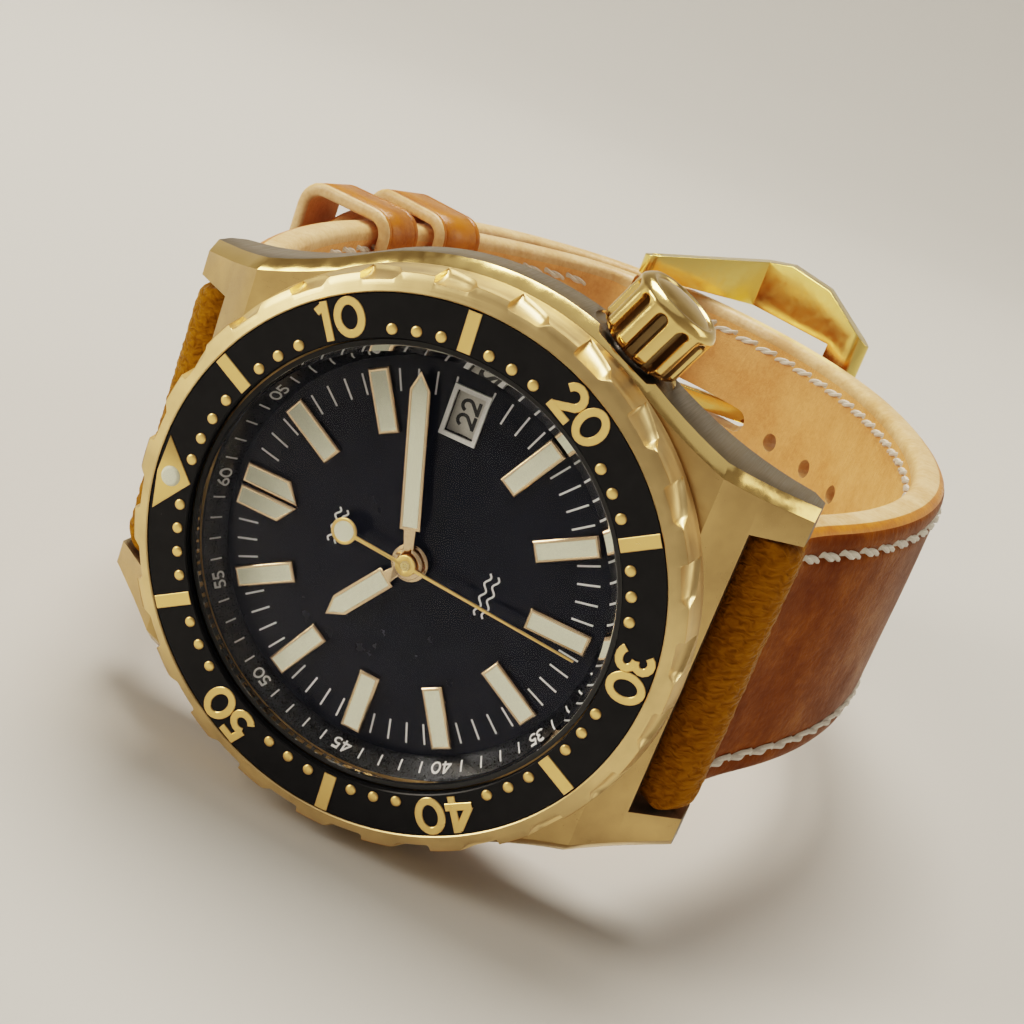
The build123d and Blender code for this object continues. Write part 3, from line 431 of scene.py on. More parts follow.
LEATHER = [
    rolled_leather(),
    leather("leather_burnished", (0.62, 0.20, 0.010), (0.40, 0.105, 0.004), 0.32, 0.15, 0.02),
    leather("leather_edge", (0.80, 0.52, 0.27), (0.60, 0.32, 0.13), 0.42, 0.15, 0.03),
    leather("leather_lining", (0.90, 0.46, 0.18), (0.74, 0.33, 0.11), 0.50, 0.05, 0.05, 2.0),
]
KEEPER_LEATHER = leather("leather_keeper", (0.47, 0.140, 0.005), (0.28, 0.070, 0.002), 0.34, 0.10, 0.03)
THREAD = paint("waxed_thread", (0.72, 0.66, 0.56), 0.42, 0.02, 6.0)
WHITE_PRINT = paint("white_print", (0.80, 0.80, 0.80), 0.5, 0.002)
DARK_PRINT = paint("dark_print", (0.02, 0.02, 0.02), 0.5, 0.002)

for name, cad_node in frame["nodes"].items():
    for slot in cad_node.material_slots:
        slot.material = LOOKS[SLOTS[name]]


# ---- floor, lamps, camera ----


def lay_floor():
    """Pale floor that curves up all round into a wall."""
    drop, flat, bend, top = -0.0002, 0.5, 0.6, 1.6
    profile = [(0.001, 0), (0.25, 0), (flat, 0)]
    for a in range(10, 91, 10):
        turn = math.radians(a)
        profile.append((flat + bend * math.sin(turn), bend - bend * math.cos(turn)))
    profile.append((flat + bend, top))
    sweep, rows = Shape(), []
    for a in range(0, 360, 5):
        turn = math.radians(a)
        rows.append([(r * math.cos(turn), r * math.sin(turn), z + drop) for r, z in profile])
    sweep.grid(rows, round_rows=True)
    mesh = bpy.data.meshes.new("floor")
    mesh.from_pydata(sweep.verts, [], sweep.faces)
    mesh.polygons.foreach_set("use_smooth", [True] * len(mesh.polygons))
    mesh.materials.append(surface("floor_paper", (0.50, 0.485, 0.46), 0.8)[0])
    floor = bpy.data.objects.new("floor", mesh)
    bpy.context.scene.collection.objects.link(floor)


def set_sky():
    """Soft light from above, nearly dark at the horizon."""
    world = bpy.data.worlds.new("studio")
    world.use_nodes = True
    tree = world.node_tree
    height = node(tree, "SeparateXYZ", Vector=node(tree, "TexCoord").outputs["Generated"]).outputs[2]
    horizon, low, above = (0.05, 0.045, 0.04), (0.08, 0.075, 0.07), (0.50, 0.48, 0.44)
    sky = ramp(tree, height, (0.0, horizon), (0.35, low), (0.8, above))
    tree.links.new(sky, tree.nodes["Background"].inputs["Color"])
    bpy.context.scene.world = world


# Each lamp's position, target, width, height, power and colour, in metres and watts.
LAMPS = {
    "lamp_top": ((-0.14, 0.20, 0.74), (-0.14, 0.202, 0), 0.42, 0.42, 8.4, (1.0, 0.93, 0.82)),
    "lamp_left": ((-0.55, -0.34, 0.34), (0, -0.03, 0.02), 0.25, 0.40, 3.0, (1.0, 0.91, 0.78)),
    "lamp_right": ((0.55, 0.25, 0.35), (0, 0.00, 0.02), 0.25, 0.35, 0.6, (1.0, 0.90, 0.78)),
}


def hang_lamps():
    for name, (spot, target, width, height, power, colour) in LAMPS.items():
        light = bpy.data.lights.new(name, "AREA")
        light.shape = "RECTANGLE"
        light.size, light.size_y, light.energy, light.color = width, height, power, colour
        lamp = bpy.data.objects.new(name, light)
        lamp.location = spot
        lamp.rotation_euler = (Vector(target) - Vector(spot)).to_track_quat("-Z", "Y").to_euler()
        bpy.context.scene.collection.objects.link(lamp)


def set_camera():
    """Camera at the photograph's viewing angle, worked out from the bezel's circles."""
    data = bpy.data.cameras.new("camera")
    data.lens, data.sensor_width = 58.0, 36.0
    data.clip_start = 0.01
    camera = bpy.data.objects.new("camera", data)
    camera.location = (0.0308, -0.1439, 0.0633)
    camera.rotation_euler = [math.radians(a) for a in (69.83, -19.69, 19.78)]
    scene = bpy.context.scene
    scene.collection.objects.link(camera)
    scene.camera = camera
    scene.view_settings.view_transform = "Filmic"
    scene.view_settings.look = "Medium High Contrast"


lay_floor()
set_sky()
hang_lamps()
set_camera()


# ---- case, buckle, markers, hands: CAD shapes with rounded edges ----


def case_zone(face):
    """1 for the flank's brushing, darkened as painted shade, 2 for the polished bevel, 0 for the rest."""
    n, slant = face.normal, 0.3
    if abs(n.y) < slant:
        return 1
    return 2 if n.y < -slant and abs(n.z) > slant else 0


soften("mid_case", 0.12, [LOOKS["bronze_brushed"], FLANK_SHADED, LOOKS["bronze_polished"]], case_zone)
soften("caseback", 0.10, [LOOKS["bronze_caseback"]])
soften("buckle_frame", 0.8, [LOOKS["buckle_gold"]], segments=5)
soften("buckle_tongue", 0.25, [LOOKS["buckle_gold"]], segments=3)
for flat_piece in ("hour_markers", "hour_hand", "minute_hand"):
    soften(flat_piece, 0.04, [LOOKS["gilt_frame"]], segments=1)
soften("seconds_hand", 0.03, [RAISED], segments=1)


# ---- bezel ----
BEZEL_ZERO = -2.3           # degrees clockwise from 12
NOTCHES = 24
NOTCH_START, NOTCH_SPAN = 5.2, 8.8   # degrees from the count's start to a notch, and across it
LAND_RADIUS, LAND_HEIGHT = 20.1, -0.4   # where the top meets the steep side
NOTCH_RADIUS = 19.6
NOTCH_FLOORS = (-2.75, -1.2)    # heights of a notch's floor at its steep end and where it starts to run out
RUN_OUT = 0.74              # share of a notch after which it fades into the tooth
INNER_RADIUS = 18.8
RIM_RADIUS, RIM_HEIGHT = 20.45, -3.0


def smoothstep(t):
    """0 to 1 with level ends, as t goes from 0 to 1."""
    t = min(1.0, max(0.0, t))
    return t * t * (3 - 2 * t)


def mix(a, b, t):
    """Value at a share t of the way from a to b."""
    return a + (b - a) * t


def side_radius(z):
    """Radius of the bezel's steep side at a height."""
    return mix(LAND_RADIUS, RIM_RADIUS, (LAND_HEIGHT - z) / (LAND_HEIGHT - RIM_HEIGHT))


def bezel_profile(t):
    """Radius and height points at a share t of a notch, or of the tooth between notches where t is None."""
    edge, floor = LAND_RADIUS, LAND_HEIGHT
    if t is not None:
        fade = smoothstep((t - RUN_OUT) / (1 - RUN_OUT))
        corner = max(0.0, 1 - t / 0.09)
        edge = mix(NOTCH_RADIUS + 0.22 * (1 - math.sqrt(1 - corner * corner)), LAND_RADIUS, fade)
        floor = mix(mix(*NOTCH_FLOORS, t), LAND_HEIGHT, fade)
    top = mix(0.1, LAND_HEIGHT, (edge - INNER_RADIUS) / (LAND_RADIUS - INNER_RADIUS))
    points = [(INNER_RADIUS, -0.6), (INNER_RADIUS, 0.02), (INNER_RADIUS + 0.08, 0.09)]
    points += [(mix(INNER_RADIUS + 0.1, edge, 0.5), mix(0.09, top, 0.5)), (edge - 0.05, top + 0.02)]
    steps, foot = 7, side_radius(floor)
    for i in range(steps + 1):
        turn = math.pi / 2 * i / steps
        points.append((mix(edge, foot, 1 - math.cos(turn)), mix(top - 0.03, floor, math.sin(turn))))
    points += [(mix(foot, RIM_RADIUS, k), mix(floor, RIM_HEIGHT, k)) for k in (0.03, 0.5, 1.0)]
    return points + [(RIM_RADIUS - 0.15, RIM_HEIGHT - 0.28), (17.4, RIM_HEIGHT - 0.3)]


def notched_bezel():
    """Bezel whose notches are scoops, steep at one end and running out at the other."""
    shape, rows = Shape(), []
    step = 360 / NOTCHES
    gap = step - NOTCH_SPAN
    shares = (0.0, 0.015, 0.04, 0.07, 0.1, 0.25, 0.42, 0.58, RUN_OUT, 0.78, 0.83, 0.88, 0.93, 1.0)
    for notch in range(NOTCHES):
        start = BEZEL_ZERO + notch * step + NOTCH_START
        sections = [(start, None)] + [(start + NOTCH_SPAN * t, t) for t in shares]
        sections += [(start + NOTCH_SPAN + gap * k, None) for k in (0.33, 0.66)]
        rows += [[polar(angle, r, z) for r, z in bezel_profile(t)] for angle, t in sections]
    shape.grid(rows, round_rows=True)
    satin = LOOKS["bronze_satin"]
    piece = finish_piece("bezel_ring", shape, DIAL, "bezel", [satin], ["bezel"])
    round_edges(piece, 0.07)


def insert_plate():
    """Black insert with softly rounded rims."""
    inner, outer, foot, rounding = 15.76, 18.78, -0.6, 0.08
    shape = Shape()
    lathe(shape, [
        (inner, foot), (inner, -rounding), (inner + rounding, 0.0),
        (outer - rounding, 0.0), (outer, -rounding), (outer, foot),
    ])
    black = LOOKS["insert_black"]
    finish_piece("insert_plate", shape, DIAL, "bezel", [black], ["bezel_insert"])


# ---- numerals and marks, as raised strips ----


def arc(cx, cy, rx, ry, start, end, steps=10):
    """Points along an ellipse's arc, in degrees anticlockwise from the right."""
    turns = [math.radians(mix(start, end, i / steps)) for i in range(steps + 1)]
    return [(cx + rx * math.cos(a), cy + ry * math.sin(a)) for a in turns]


# Each digit's strokes in a cell one unit high, with its advance.
DIGITS = {
    "0": ([arc(0.40, 0.5, 0.31, 0.40, 0, 360, 24)], 0.80),
    "1": ([[(0.26, 0.98), (0.26, 0.02)], [(0.04, 0.76), (0.26, 0.88)]], 0.46),
    "2": ([arc(0.34, 0.64, 0.25, 0.26, 165, -38, 9) + [(0.10, 0.12)], [(0.02, 0.11), (0.66, 0.11)]], 0.70),
    "3": ([arc(0.30, 0.70, 0.22, 0.20, 150, -90, 9), arc(0.30, 0.30, 0.26, 0.21, 90, -150, 10)], 0.64),
    "4": ([[(0.52, 0.02), (0.52, 0.98)], [(0.46, 0.90), (0.06, 0.30)], [(0.0, 0.30), (0.72, 0.30)]], 0.78),
    "5": ([[(0.60, 0.89), (0.18, 0.89), (0.13, 0.50)], arc(0.31, 0.33, 0.26, 0.24, 130, -145, 11)], 0.68),
    "6": ([arc(0.36, 0.32, 0.25, 0.23, 140, -220, 18), [(0.13, 0.42), (0.28, 0.74), (0.48, 0.92)]], 0.70),
}


def strip(points, width, low, high, bevel):
    """Rows of points across a raised strip along a path, and whether the path is closed."""
    closed = (Vector(points[0]) - Vector(points[-1])).length < 1e-4
    points = [Vector(p) for p in (points[:-1] if closed else points)]
    count, rows = len(points), []
    for i, point in enumerate(points):
        along = []
        if i or closed:
            along.append((point - points[i - 1]).normalized())
        if i < count - 1 or closed:
            along.append((points[(i + 1) % count] - point).normalized())
        middle = sum(along, Vector((0, 0))).normalized()
        across = Vector((-middle.y, middle.x))
        reach = width / 2 / max(0.5, abs(across.dot(Vector((-along[0].y, along[0].x)))))
        inset = reach * (1 - 2 * bevel / width)
        offsets = ((-reach, low), (-reach, high - bevel), (-inset, high))
        offsets += tuple((-u, z) for u, z in offsets[::-1])
        rows.append([(*(point + across * u), z) for u, z in offsets])
    return rows, closed


def add_strip(shape, points, width, low, high, bevel, put):
    """Raised strip with bevelled edges along a path, put in place by a function of (u, v, height)."""
    rows, closed = strip(points, width, low, high, bevel)
    rows = [[put(*p) for p in row] for row in rows]
    shape.grid(rows, round_rows=closed)
    if not closed:
        shape.add(rows[0], [(5, 4, 3, 2, 1, 0)])
        shape.add(rows[-1], [(0, 1, 2, 3, 4, 5)])


def write(shape, text, height, stroke, low, high, bevel, put):
    """Digits centred on the local origin, u to the right and v up."""
    total = sum(DIGITS[c][1] for c in text) * height
    u = -total / 2
    for c in text:
        strokes, advance = DIGITS[c]
        for layer, points in enumerate(strokes):
            moved = [(u + x * height, (y - 0.5) * height) for x, y in points]
            # Strokes that cross lie a hair apart, so that no two faces share a plane.
            add_strip(shape, moved, stroke, low, high + 0.004 * height * layer, bevel, put)
        u += advance * height


def tops_outward(angle, radius, level=0.0):
    """Function that puts a mark's points on a level over the dial's plane, its top turned outwards."""
    out, right = polar(angle, 1), polar(angle + 90, 1)
    return lambda u, v, h: out * (radius + v) + right * u + Vector((0, 0, level + h))


def dot(shape, centre, radius, low, high, steps=16):
    """Raised dot with a domed top."""
    rows = []
    turns = [2 * math.pi * i / steps for i in range(steps)]
    for share, rise in ((1.0, 0.0), (1.0, 0.45), (0.86, 0.82), (0.5, 1.0), (0.001, 1.0)):
        r, z = radius * share, mix(low, high, rise)
        rows.append([centre + Vector((r * math.cos(a), r * math.sin(a), z)) for a in turns])
    shape.grid(rows, closed=True)


def insert_marks():
    """Raised minute dots, five-minute bars, numerals and the zero triangle."""
    shape = Shape()
    low, high, bevel = -0.02, 0.10, 0.04
    for minute in range(1, 60):
        angle = BEZEL_ZERO + 6 * minute
        put = tops_outward(angle, 17.28)
        if minute % 10 == 0:
            write(shape, str(minute), 2.75, 0.56, low, high, bevel, put)
        elif minute % 5 == 0:
            add_strip(shape, [(0, -1.38), (0, 1.38)], 0.95, low, high, bevel, put)
        elif minute % 10 not in (1, 9) or minute in (1, 59):    # the numerals take the others' places
            dot(shape, polar(angle, 16.4), 0.39, low, 0.16)
    triangle = ((0, 15.95), (8.6, 18.5), (0, 18.62), (-8.6, 18.5))    # degrees from zero and radius
    corners = [polar(BEZEL_ZERO + turn, radius) for turn, radius in triangle]
    middle = sum(corners, Vector()) / 4
    rows = [
        [middle + (c - middle) * k + Vector((0, 0, z)) for c in corners]
        for k, z in ((1, low), (1, high - bevel), (0.96, high), (0.001, high))
    ]
    shape.grid(rows, closed=True)
    finish_piece("insert_marks", shape, DIAL, "bezel", [RAISED])


notched_bezel()
insert_plate()
insert_marks()
soften("bezel_lume_pip", 0.05, [LOOKS["lume"]])


# ---- crystal, chapter ring, dial print ----
DIAL_LEVEL = -4.2
PRINT = (-0.01, 0.02, 0.003)    # a printed mark's foot, top and bevel, from the surface it is on


def crystal_dome():
    """Double-domed crystal with a bevelled rim, finely turned."""
    steps = 14

    def dome(radius, top, drop):
        return [(radius * i / steps, top - drop * (i / steps) ** 2) for i in range(steps + 1)]

    shape = Shape()
    outside = dome(14.75, 1.1, 1.15)
    inside = dome(14.45, -1.5, 1.08)
    rim = [(14.95, -0.12), (15.27, -0.5), (15.3, -0.6), (15.3, -2.6), (14.6, -2.62)]
    lathe(shape, [(max(r, 0.001), z) for r, z in outside + rim + inside[::-1]], steps=180)
    glass = LOOKS["crystal_glass"]
    finish_piece("crystal_dome", shape, DIAL, "case", [glass], ["crystal"], smooth=25)


def chapter_ring():
    """Sloping ring round the dial, with ticks and numerals every five minutes."""
    inner, outer = Vector((14.0, -4.0)), Vector((14.97, -2.6))
    shape = Shape()
    lathe(shape, [(inner.x, DIAL_LEVEL), inner, outer, (15.1, outer.y), (15.1, DIAL_LEVEL)])
    black = LOOKS["chapter_black"]
    finish_piece("chapter_cone", shape, DIAL, "case", [black], ["chapter_ring"])
    marks = Shape()
    slope = (outer - inner).normalized()
    middle = (inner + outer) / 2

    def on_slope(angle):
        """Function that puts a mark's points on the ring's slope."""
        out, right = polar(angle, 1), polar(angle + 90, 1)

        def put(u, v, h):
            r = middle + slope * v + Vector((-slope.y, slope.x)) * h
            return out * r.x + right * u + Vector((0, 0, r.y))

        return put

    for minute in range(1, 61):
        put = on_slope(6 * minute)
        if minute % 5 == 0:
            write(marks, f"{minute:02d}", 0.95, 0.14, *PRINT, put)
        else:
            add_strip(marks, [(0, -0.42), (0, 0.42)], 0.12, *PRINT, put)
    finish_piece("chapter_marks", marks, DIAL, "case", [WHITE_PRINT])


def dial_print():
    """Minute track and two small wave marks printed on the dial."""
    shape = Shape()
    line = (0.13, -0.01, 0.025, 0.004)    # width, foot, top, bevel
    for minute in range(60):
        if minute % 5:
            add_strip(shape, [(0, -0.75), (0, 0.75)], *line, tops_outward(6 * minute, 12.45, DIAL_LEVEL))
    for angle, radius, half in ((0, 5.6, 1.3), (0, 6.15, 1.3), (180, 5.4, 1.6), (180, 6.0, 1.6)):
        wave = [(mix(-half, half, i / 24), 0.16 * math.sin(math.radians(45 * i))) for i in range(25)]
        add_strip(shape, wave, *line, tops_outward(angle, radius, DIAL_LEVEL))
    finish_piece("dial_print", shape, DIAL, "case", [WHITE_PRINT])


def date_number():
    """The day's number on the date disc, upright towards 12."""
    shape = Shape()
    low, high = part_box("date_disc")
    top = (CENTRE.y - low.y) / MM
    write(shape, "22", 1.5, 0.24, *PRINT, lambda u, v, h: Vector((11.0 + u, v, top + h)))
    finish_piece("date_number", shape, DIAL, "date", [DARK_PRINT])


crystal_dome()
chapter_ring()
dial_print()
date_number()


# ---- crown ----
STEM_ANGLE, STEM_HEIGHT = 114.0, -6.9
CROWN_START, CROWN_RADIUS = 20.9, 3.3   # distance of its base from the dial's axis, and its own radius
FLUTES, FLUTE_DEPTH = 11, 0.85
FLUTE_HALF, FLUTE_END = 0.54, 3.75      # half its width, and where it ends from the crown's base
FLUTE_SHADE_SHARE = 0.45                     # share of a flute's depth below which the metal is darker, as painted shade in the hollow


def fluted_crown():
    """Crown with round-ended flutes that open at its base, and a plain domed face."""
    out = polar(STEM_ANGLE, 1)
    side = Vector((0, 0, 1))
    across = out.cross(side)
    profile = [(2.4, 0.0), (2.75, 0.0), (2.98, 0.12), (3.2, 0.35), (3.28, 0.55)]
    profile += [(CROWN_RADIUS, mix(0.6, 3.9, i / 48)) for i in range(49)]
    profile += [(3.27, 4.0), (3.05, 4.28), (2.85, 4.46), (2.72, 4.52), (2.55, 4.52), (2.45, 4.46)]
    profile += [(2.40, 4.38), (2.3, 4.38), (2.1, 4.47), (1.5, 4.62), (0.8, 4.70), (0.001, 4.72)]
    columns = 40    # of points to each flute
    pitch = 2 * math.pi * CROWN_RADIUS / FLUTES
    rows, zones = [], []
    for i in range(FLUTES * columns):
        turn = 2 * math.pi * i / (FLUTES * columns)
        spoke = side * math.cos(turn) + across * math.sin(turn)
        from_flute = ((i + columns // 2) % columns - columns // 2) / columns * pitch
        row, depths = [], []
        for r, t in profile:
            distance = math.hypot(from_flute, max(0.0, t - (FLUTE_END - FLUTE_HALF))) / FLUTE_HALF
            depth = FLUTE_DEPTH * smoothstep((1.0 - distance) / 0.42) if 0.0 < t < 3.95 and r > 2.5 else 0.0
            from_crest = abs(abs(from_flute) - 0.94) / 0.42
            rounding = 0.10 * smoothstep((4.1 - t) / 0.8) * min(1.0, from_crest ** 2)
            radius = max(r - depth - (rounding if t > 0.3 else 0.0), min(r, 2.42))
            row.append(out * (CROWN_START + t) + spoke * radius + Vector((0, 0, STEM_HEIGHT)))
            depths.append(depth)
        rows.append(row)
        # Faces deep in a flute take the darker bronze, as painted shade.
        zones += [int(depth > FLUTE_SHADE_SHARE * FLUTE_DEPTH) for depth in depths[:-1]]
    shape = Shape()
    shape.grid(rows, zones, round_rows=True)
    metals = [LOOKS["bronze_polished"], FLUTE_SHADE]
    finish_piece("fluted_crown", shape, DIAL, "crown", metals, ["crown"], smooth=60)


fluted_crown()


# ---- strap ----
LONG_PATH = [
    (21.7, 9.6), (21.8, 11.6), (25.0, 20.5), (29.2, 35.0), (29.6, 46.0), (26.2, 60.5), (19.8, 72.5),
    (10.5, 81.0), (0.0, 85.0), (-9.0, 84.7), (-20.2, 77.5), (-28.6, 63.5), (-32.6, 46.0),
]
SHORT_PATH = [
    (-21.7, 9.6), (-21.8, 11.6), (-25.0, 20.5), (-28.4, 34.0), (-28.8, 46.5), (-25.0, 61.5), (-17.3, 73.5),
    (-8.8, 79.8), (-7.0, 80.0),
]
HALF_WIDTH, HALF_THICKNESS = 10.7, 1.5
LUG_ROLL, BUCKLE_ROLL = 2.2, 1.9    # radii of the rolled ends
TAIL = 12.0                 # length of the long piece's rounded tip
STITCH_LINE = 8.5           # from the strap's middle
STITCH_START = 4.4          # behind the lug bar
STITCH_PITCH = 3.0
STITCHED_SHORT_OF = {"strap_long_piece": 10.0, "strap_short_piece": 5.0}    # of each piece's far end
FIRST_HOLE, HOLE_PITCH = 61.2, 7.0
HOLES = (0, 1, 2, 5, 6)     # those under the buckle are left to the tongue's slot


def clamped_spline(points, start, end):
    """Dense points of a smooth curve through points, with set directions at its ends."""
    knots = np.array(points, float)
    gaps = np.linalg.norm(np.diff(knots, axis=0), axis=1)
    count = len(knots)
    left, right = np.zeros((count, count)), np.zeros((count, 2))
    left[0, 0] = left[-1, -1] = 1
    right[0], right[-1] = (np.array(v) / np.linalg.norm(v) for v in (start, end))
    for i in range(1, count - 1):
        left[i, i - 1:i + 2] = gaps[i], 2 * (gaps[i - 1] + gaps[i]), gaps[i - 1]
        ratio = gaps[i] / gaps[i - 1]
        right[i] = 3 * (ratio * (knots[i] - knots[i - 1]) + (knots[i + 1] - knots[i]) / ratio)
    slopes = np.linalg.solve(left, right)
    dense = []
    for i, gap in enumerate(gaps):
        for t in np.linspace(0, 1, 60, endpoint=i == len(gaps) - 1):
            share = 2 * t ** 3 - 3 * t ** 2 + 1
            leave, arrive = (t ** 3 - 2 * t ** 2 + t) * gap, (t ** 3 - t ** 2) * gap
            place = share * knots[i] + (1 - share) * knots[i + 1]
            dense.append(place + leave * slopes[i] + arrive * slopes[i + 1])
    return np.array(dense)


class Strap:
    """One strap piece: its middle line, and its half width and half thickness along it."""

    def __init__(self, points, start, end, outward, far_roll, tail):
        self.line = clamped_spline(points, start, end)
        steps = np.linalg.norm(np.diff(self.line, axis=0), axis=1)
        self.run = np.concatenate([[0], np.cumsum(steps)])
        self.length = self.run[-1]
        self.outward, self.far_roll, self.tail = outward, far_roll, tail

    def at(self, s, n, z):
        """Point at a distance along the strap, a height outwards from its middle, and a place across."""
        inside = min(max(s, 0.0), self.length)
        middle, ahead, behind = (
            Vector([np.interp(min(max(place, 0), self.length), self.run, self.line[:, k]) for k in (0, 1)])
            for place in (inside, inside + 0.2, inside - 0.2)
        )
        along = (ahead - behind).to_3d().normalized()
        out = Vector((along.y, -along.x, 0)) * self.outward
        return Vector((*middle, z)) + along * (s - inside) + out * n

    def half_thickness(self, s):
        """Half the thickness, which swells to a roll at each bar and thins towards a tail's tip."""
        half = mix(LUG_ROLL, HALF_THICKNESS, smoothstep(s / 5.0))
        if s < 0:
            half = math.sqrt(max(0.0, LUG_ROLL ** 2 - s * s))
        if self.far_roll:
            left = self.length - s
            half = mix(self.far_roll, half, smoothstep(left / 4.0))
            if left < 0:
                half = math.sqrt(max(0.0, self.far_roll ** 2 - left * left))
        elif self.tail:
            half = mix(1.0, half, smoothstep((self.length - s) / 14))
        return max(half, 0.002)

    def half_width(self, s):
        """Half the width, which closes to a rounded tip along a tail."""
        if not self.tail or s < self.length - self.tail:
            return HALF_WIDTH
        past = (s - self.length + self.tail) / self.tail
        return max(0.4, HALF_WIDTH * max(0.0, 1 - past ** 2.6) ** (1 / 2.2))

    def groove(self, s, z):
        """Depth of the furrow that the stitches lie in, and of the crease behind the rolled end."""
        from_end = min(s - 4.2, (self.length - s - 3.5) if self.far_roll else 10)
        line = self.half_width(s) - HALF_WIDTH + STITCH_LINE
        furrow = 0.22 * math.exp(-(((abs(z) - line) / 0.45) ** 2)) * smoothstep(from_end)
        crease = 0.16 * math.exp(-(((s - 4.0) / 0.35) ** 2))
        return furrow + crease

    def wrinkle(self, s, z):
        """Height of the rolled end's fine folds, which fade into faint unevenness along the strap."""
        rolled = 1 - smoothstep((s - 3.0) / 1.2)
        if self.far_roll:
            rolled = max(rolled, 0.5 * smoothstep((s - self.length + 3) / 2))
        folds = perlin.noise(Vector((0.9 * s, 2.1 * z, 3.0)))
        folds += 0.5 * perlin.noise(Vector((1.4 * s, 4.0 * z, 8.0)))
        waves = perlin.noise(Vector((0.16 * s, 0.16 * z, 5.0 + self.outward)))
        return 0.11 * rolled * folds + 0.05 * waves

    def section(self, s):
        """Points (across, height) round the strap from its outer face, and how many lie on each side."""
        wide, half = self.half_width(s), self.half_thickness(s)
        rim = min(1.3, 0.8 * half, 0.6 * wide)
        flat = wide - rim
        across = [mix(-flat, flat, i / 110) for i in range(111)]
        swell = 0.12 * smoothstep((s - 3) / 4)
        outer = []
        for z in across:
            raised = swell * (1 - (z / flat) ** 2) + self.wrinkle(s, z) * min(1.0, half)
            outer.append((z, half - self.groove(s, z) + raised))
        across = across[::5]
        lining = [(z, -half + 0.7 * self.groove(s, z)) for z in across[::-1]]
        turns = [math.radians(a) for a in (18, 36, 54, 72)]
        low = min(0.9, 0.7 * half)
        edge = [(flat + rim * math.sin(a), half - rim + rim * math.cos(a)) for a in turns]
        edge += [(wide, mix(half - rim, low - half, k)) for k in (0, 0.33, 0.67, 1)]
        edge += [(wide - low + low * math.cos(a), low - half - low * math.sin(a)) for a in turns]
        back = [(-z, n) for z, n in edge[::-1]]
        return outer + edge + lining + back, len(outer), len(edge), len(lining)

    def surface(self):
        """Closed mesh of the piece, in zones: 0 outer face, 1 burnished line, 2 raw edge, 3 lining."""
        fine_start, fine_end = 6, self.length - 9
        stations = [-LUG_ROLL * math.cos(math.radians(a)) for a in range(0, 90, 10)]
        stations += list(np.arange(0, fine_start, 0.4)) + list(np.arange(fine_start, fine_end, 1.0))
        stations += list(np.linspace(fine_end + 0.2, self.length, 40))
        if self.far_roll:
            stations += [self.length + self.far_roll * math.sin(math.radians(a)) for a in range(10, 91, 10)]
        shape, rows = Shape(), []
        for s in stations:
            points, faces, edges, linings = self.section(s)
            rows.append([self.at(s, n, z) for z, n in points])
        ring = [0] * (faces - 1) + [0, 0, 1, 1] + [2] * (edges - 3) + [3] * (linings - 1)
        ring += [2] * (edges - 3) + [1, 1, 0, 0]
        zones = []
        for s in stations[:-1]:
            rolled = s < 3.4 or self.far_roll and s > self.length - 1.5    # the outer layer wraps round
            zones += [0] * len(ring) if rolled else ring
        shape.grid(rows, zones, closed=True)
        count = len(rows[0])
        shape.add(rows[-1], [tuple(range(count))], 2)
        shape.add(rows[0], [tuple(range(count))], 0)
        return shape

    def stitches(self, shape, stop, side, face):
        """Waxed two-ply stitches along one side of a face, each dipping into the leather at its ends."""
        ply_radius, lay, dip, turns = 0.22, 0.15, 0.42, 0.9    # lay: from the thread's middle to a ply's
        spokes = [2 * math.pi * k / 6 for k in range(6)]
        for i in range(int((stop - STITCH_START) / STITCH_PITCH)):
            for ply in (0, 1):
                rows = []
                for t in [j / 9 for j in range(10)]:
                    s = STITCH_START + STITCH_PITCH * (i - 0.04 + 1.08 * t)
                    turn = 2 * math.pi * turns * t + math.pi * ply
                    line = side * (self.half_width(s) - HALF_WIDTH + STITCH_LINE + 0.5 * (0.5 - t))
                    rise = self.half_thickness(s) - dip * (1 - math.sin(math.pi * t) ** 0.5)
                    z, n = line + lay * math.cos(turn), rise + lay * math.sin(turn)
                    round_ply = [(z + ply_radius * math.cos(a), n + ply_radius * math.sin(a)) for a in spokes]
                    rows.append([self.at(s, face * height, across) for across, height in round_ply])
                shape.grid(rows, closed=True)


def cut(piece, cutter):
    """Cut a cutter's shape out of a piece and remove the cutter."""
    knife = piece.modifiers.new("cut", "BOOLEAN")
    knife.operation, knife.solver, knife.object = "DIFFERENCE", "EXACT", cutter
    knife.material_mode = "TRANSFER"
    depsgraph = bpy.context.evaluated_depsgraph_get()
    mesh = bpy.data.meshes.new_from_object(piece.evaluated_get(depsgraph))
    piece.modifiers.clear()
    piece.data = mesh
    bpy.data.objects.remove(cutter)


def prism(shape, outline, low, high, put):
    """Closed straight-sided solid from an outline between two heights."""
    count = len(outline)
    shape.grid([[put(u, v, h) for u, v in outline] for h in (low, high)], closed=True)
    for h in (low, high):
        shape.add([put(u, v, h) for u, v in outline], [tuple(range(count))])


def cutter_from(shape):
    """Bare object for a boolean cut, with the raw leather's material on its walls."""
    mesh = bpy.data.meshes.new("cutter")
    mesh.from_pydata([LOOP @ v for v in shape.verts], [], shape.faces)
    mesh.materials.append(LEATHER[2])
    work = bmesh.new()
    work.from_mesh(mesh)
    bmesh.ops.remove_doubles(work, verts=work.verts, dist=1e-7)
    bmesh.ops.recalc_face_normals(work, faces=work.faces)
    work.to_mesh(mesh)
    work.free()
    cutter = bpy.data.objects.new("cutter", mesh)
    bpy.context.scene.collection.objects.link(cutter)
    return cutter


def oval(length, width, steps=8):
    """Slot outline, round at both ends, lying along u."""
    right = arc((length - width) / 2, 0, width / 2, width / 2, -90, 90, steps)
    return right + [(-u, -v) for u, v in right]


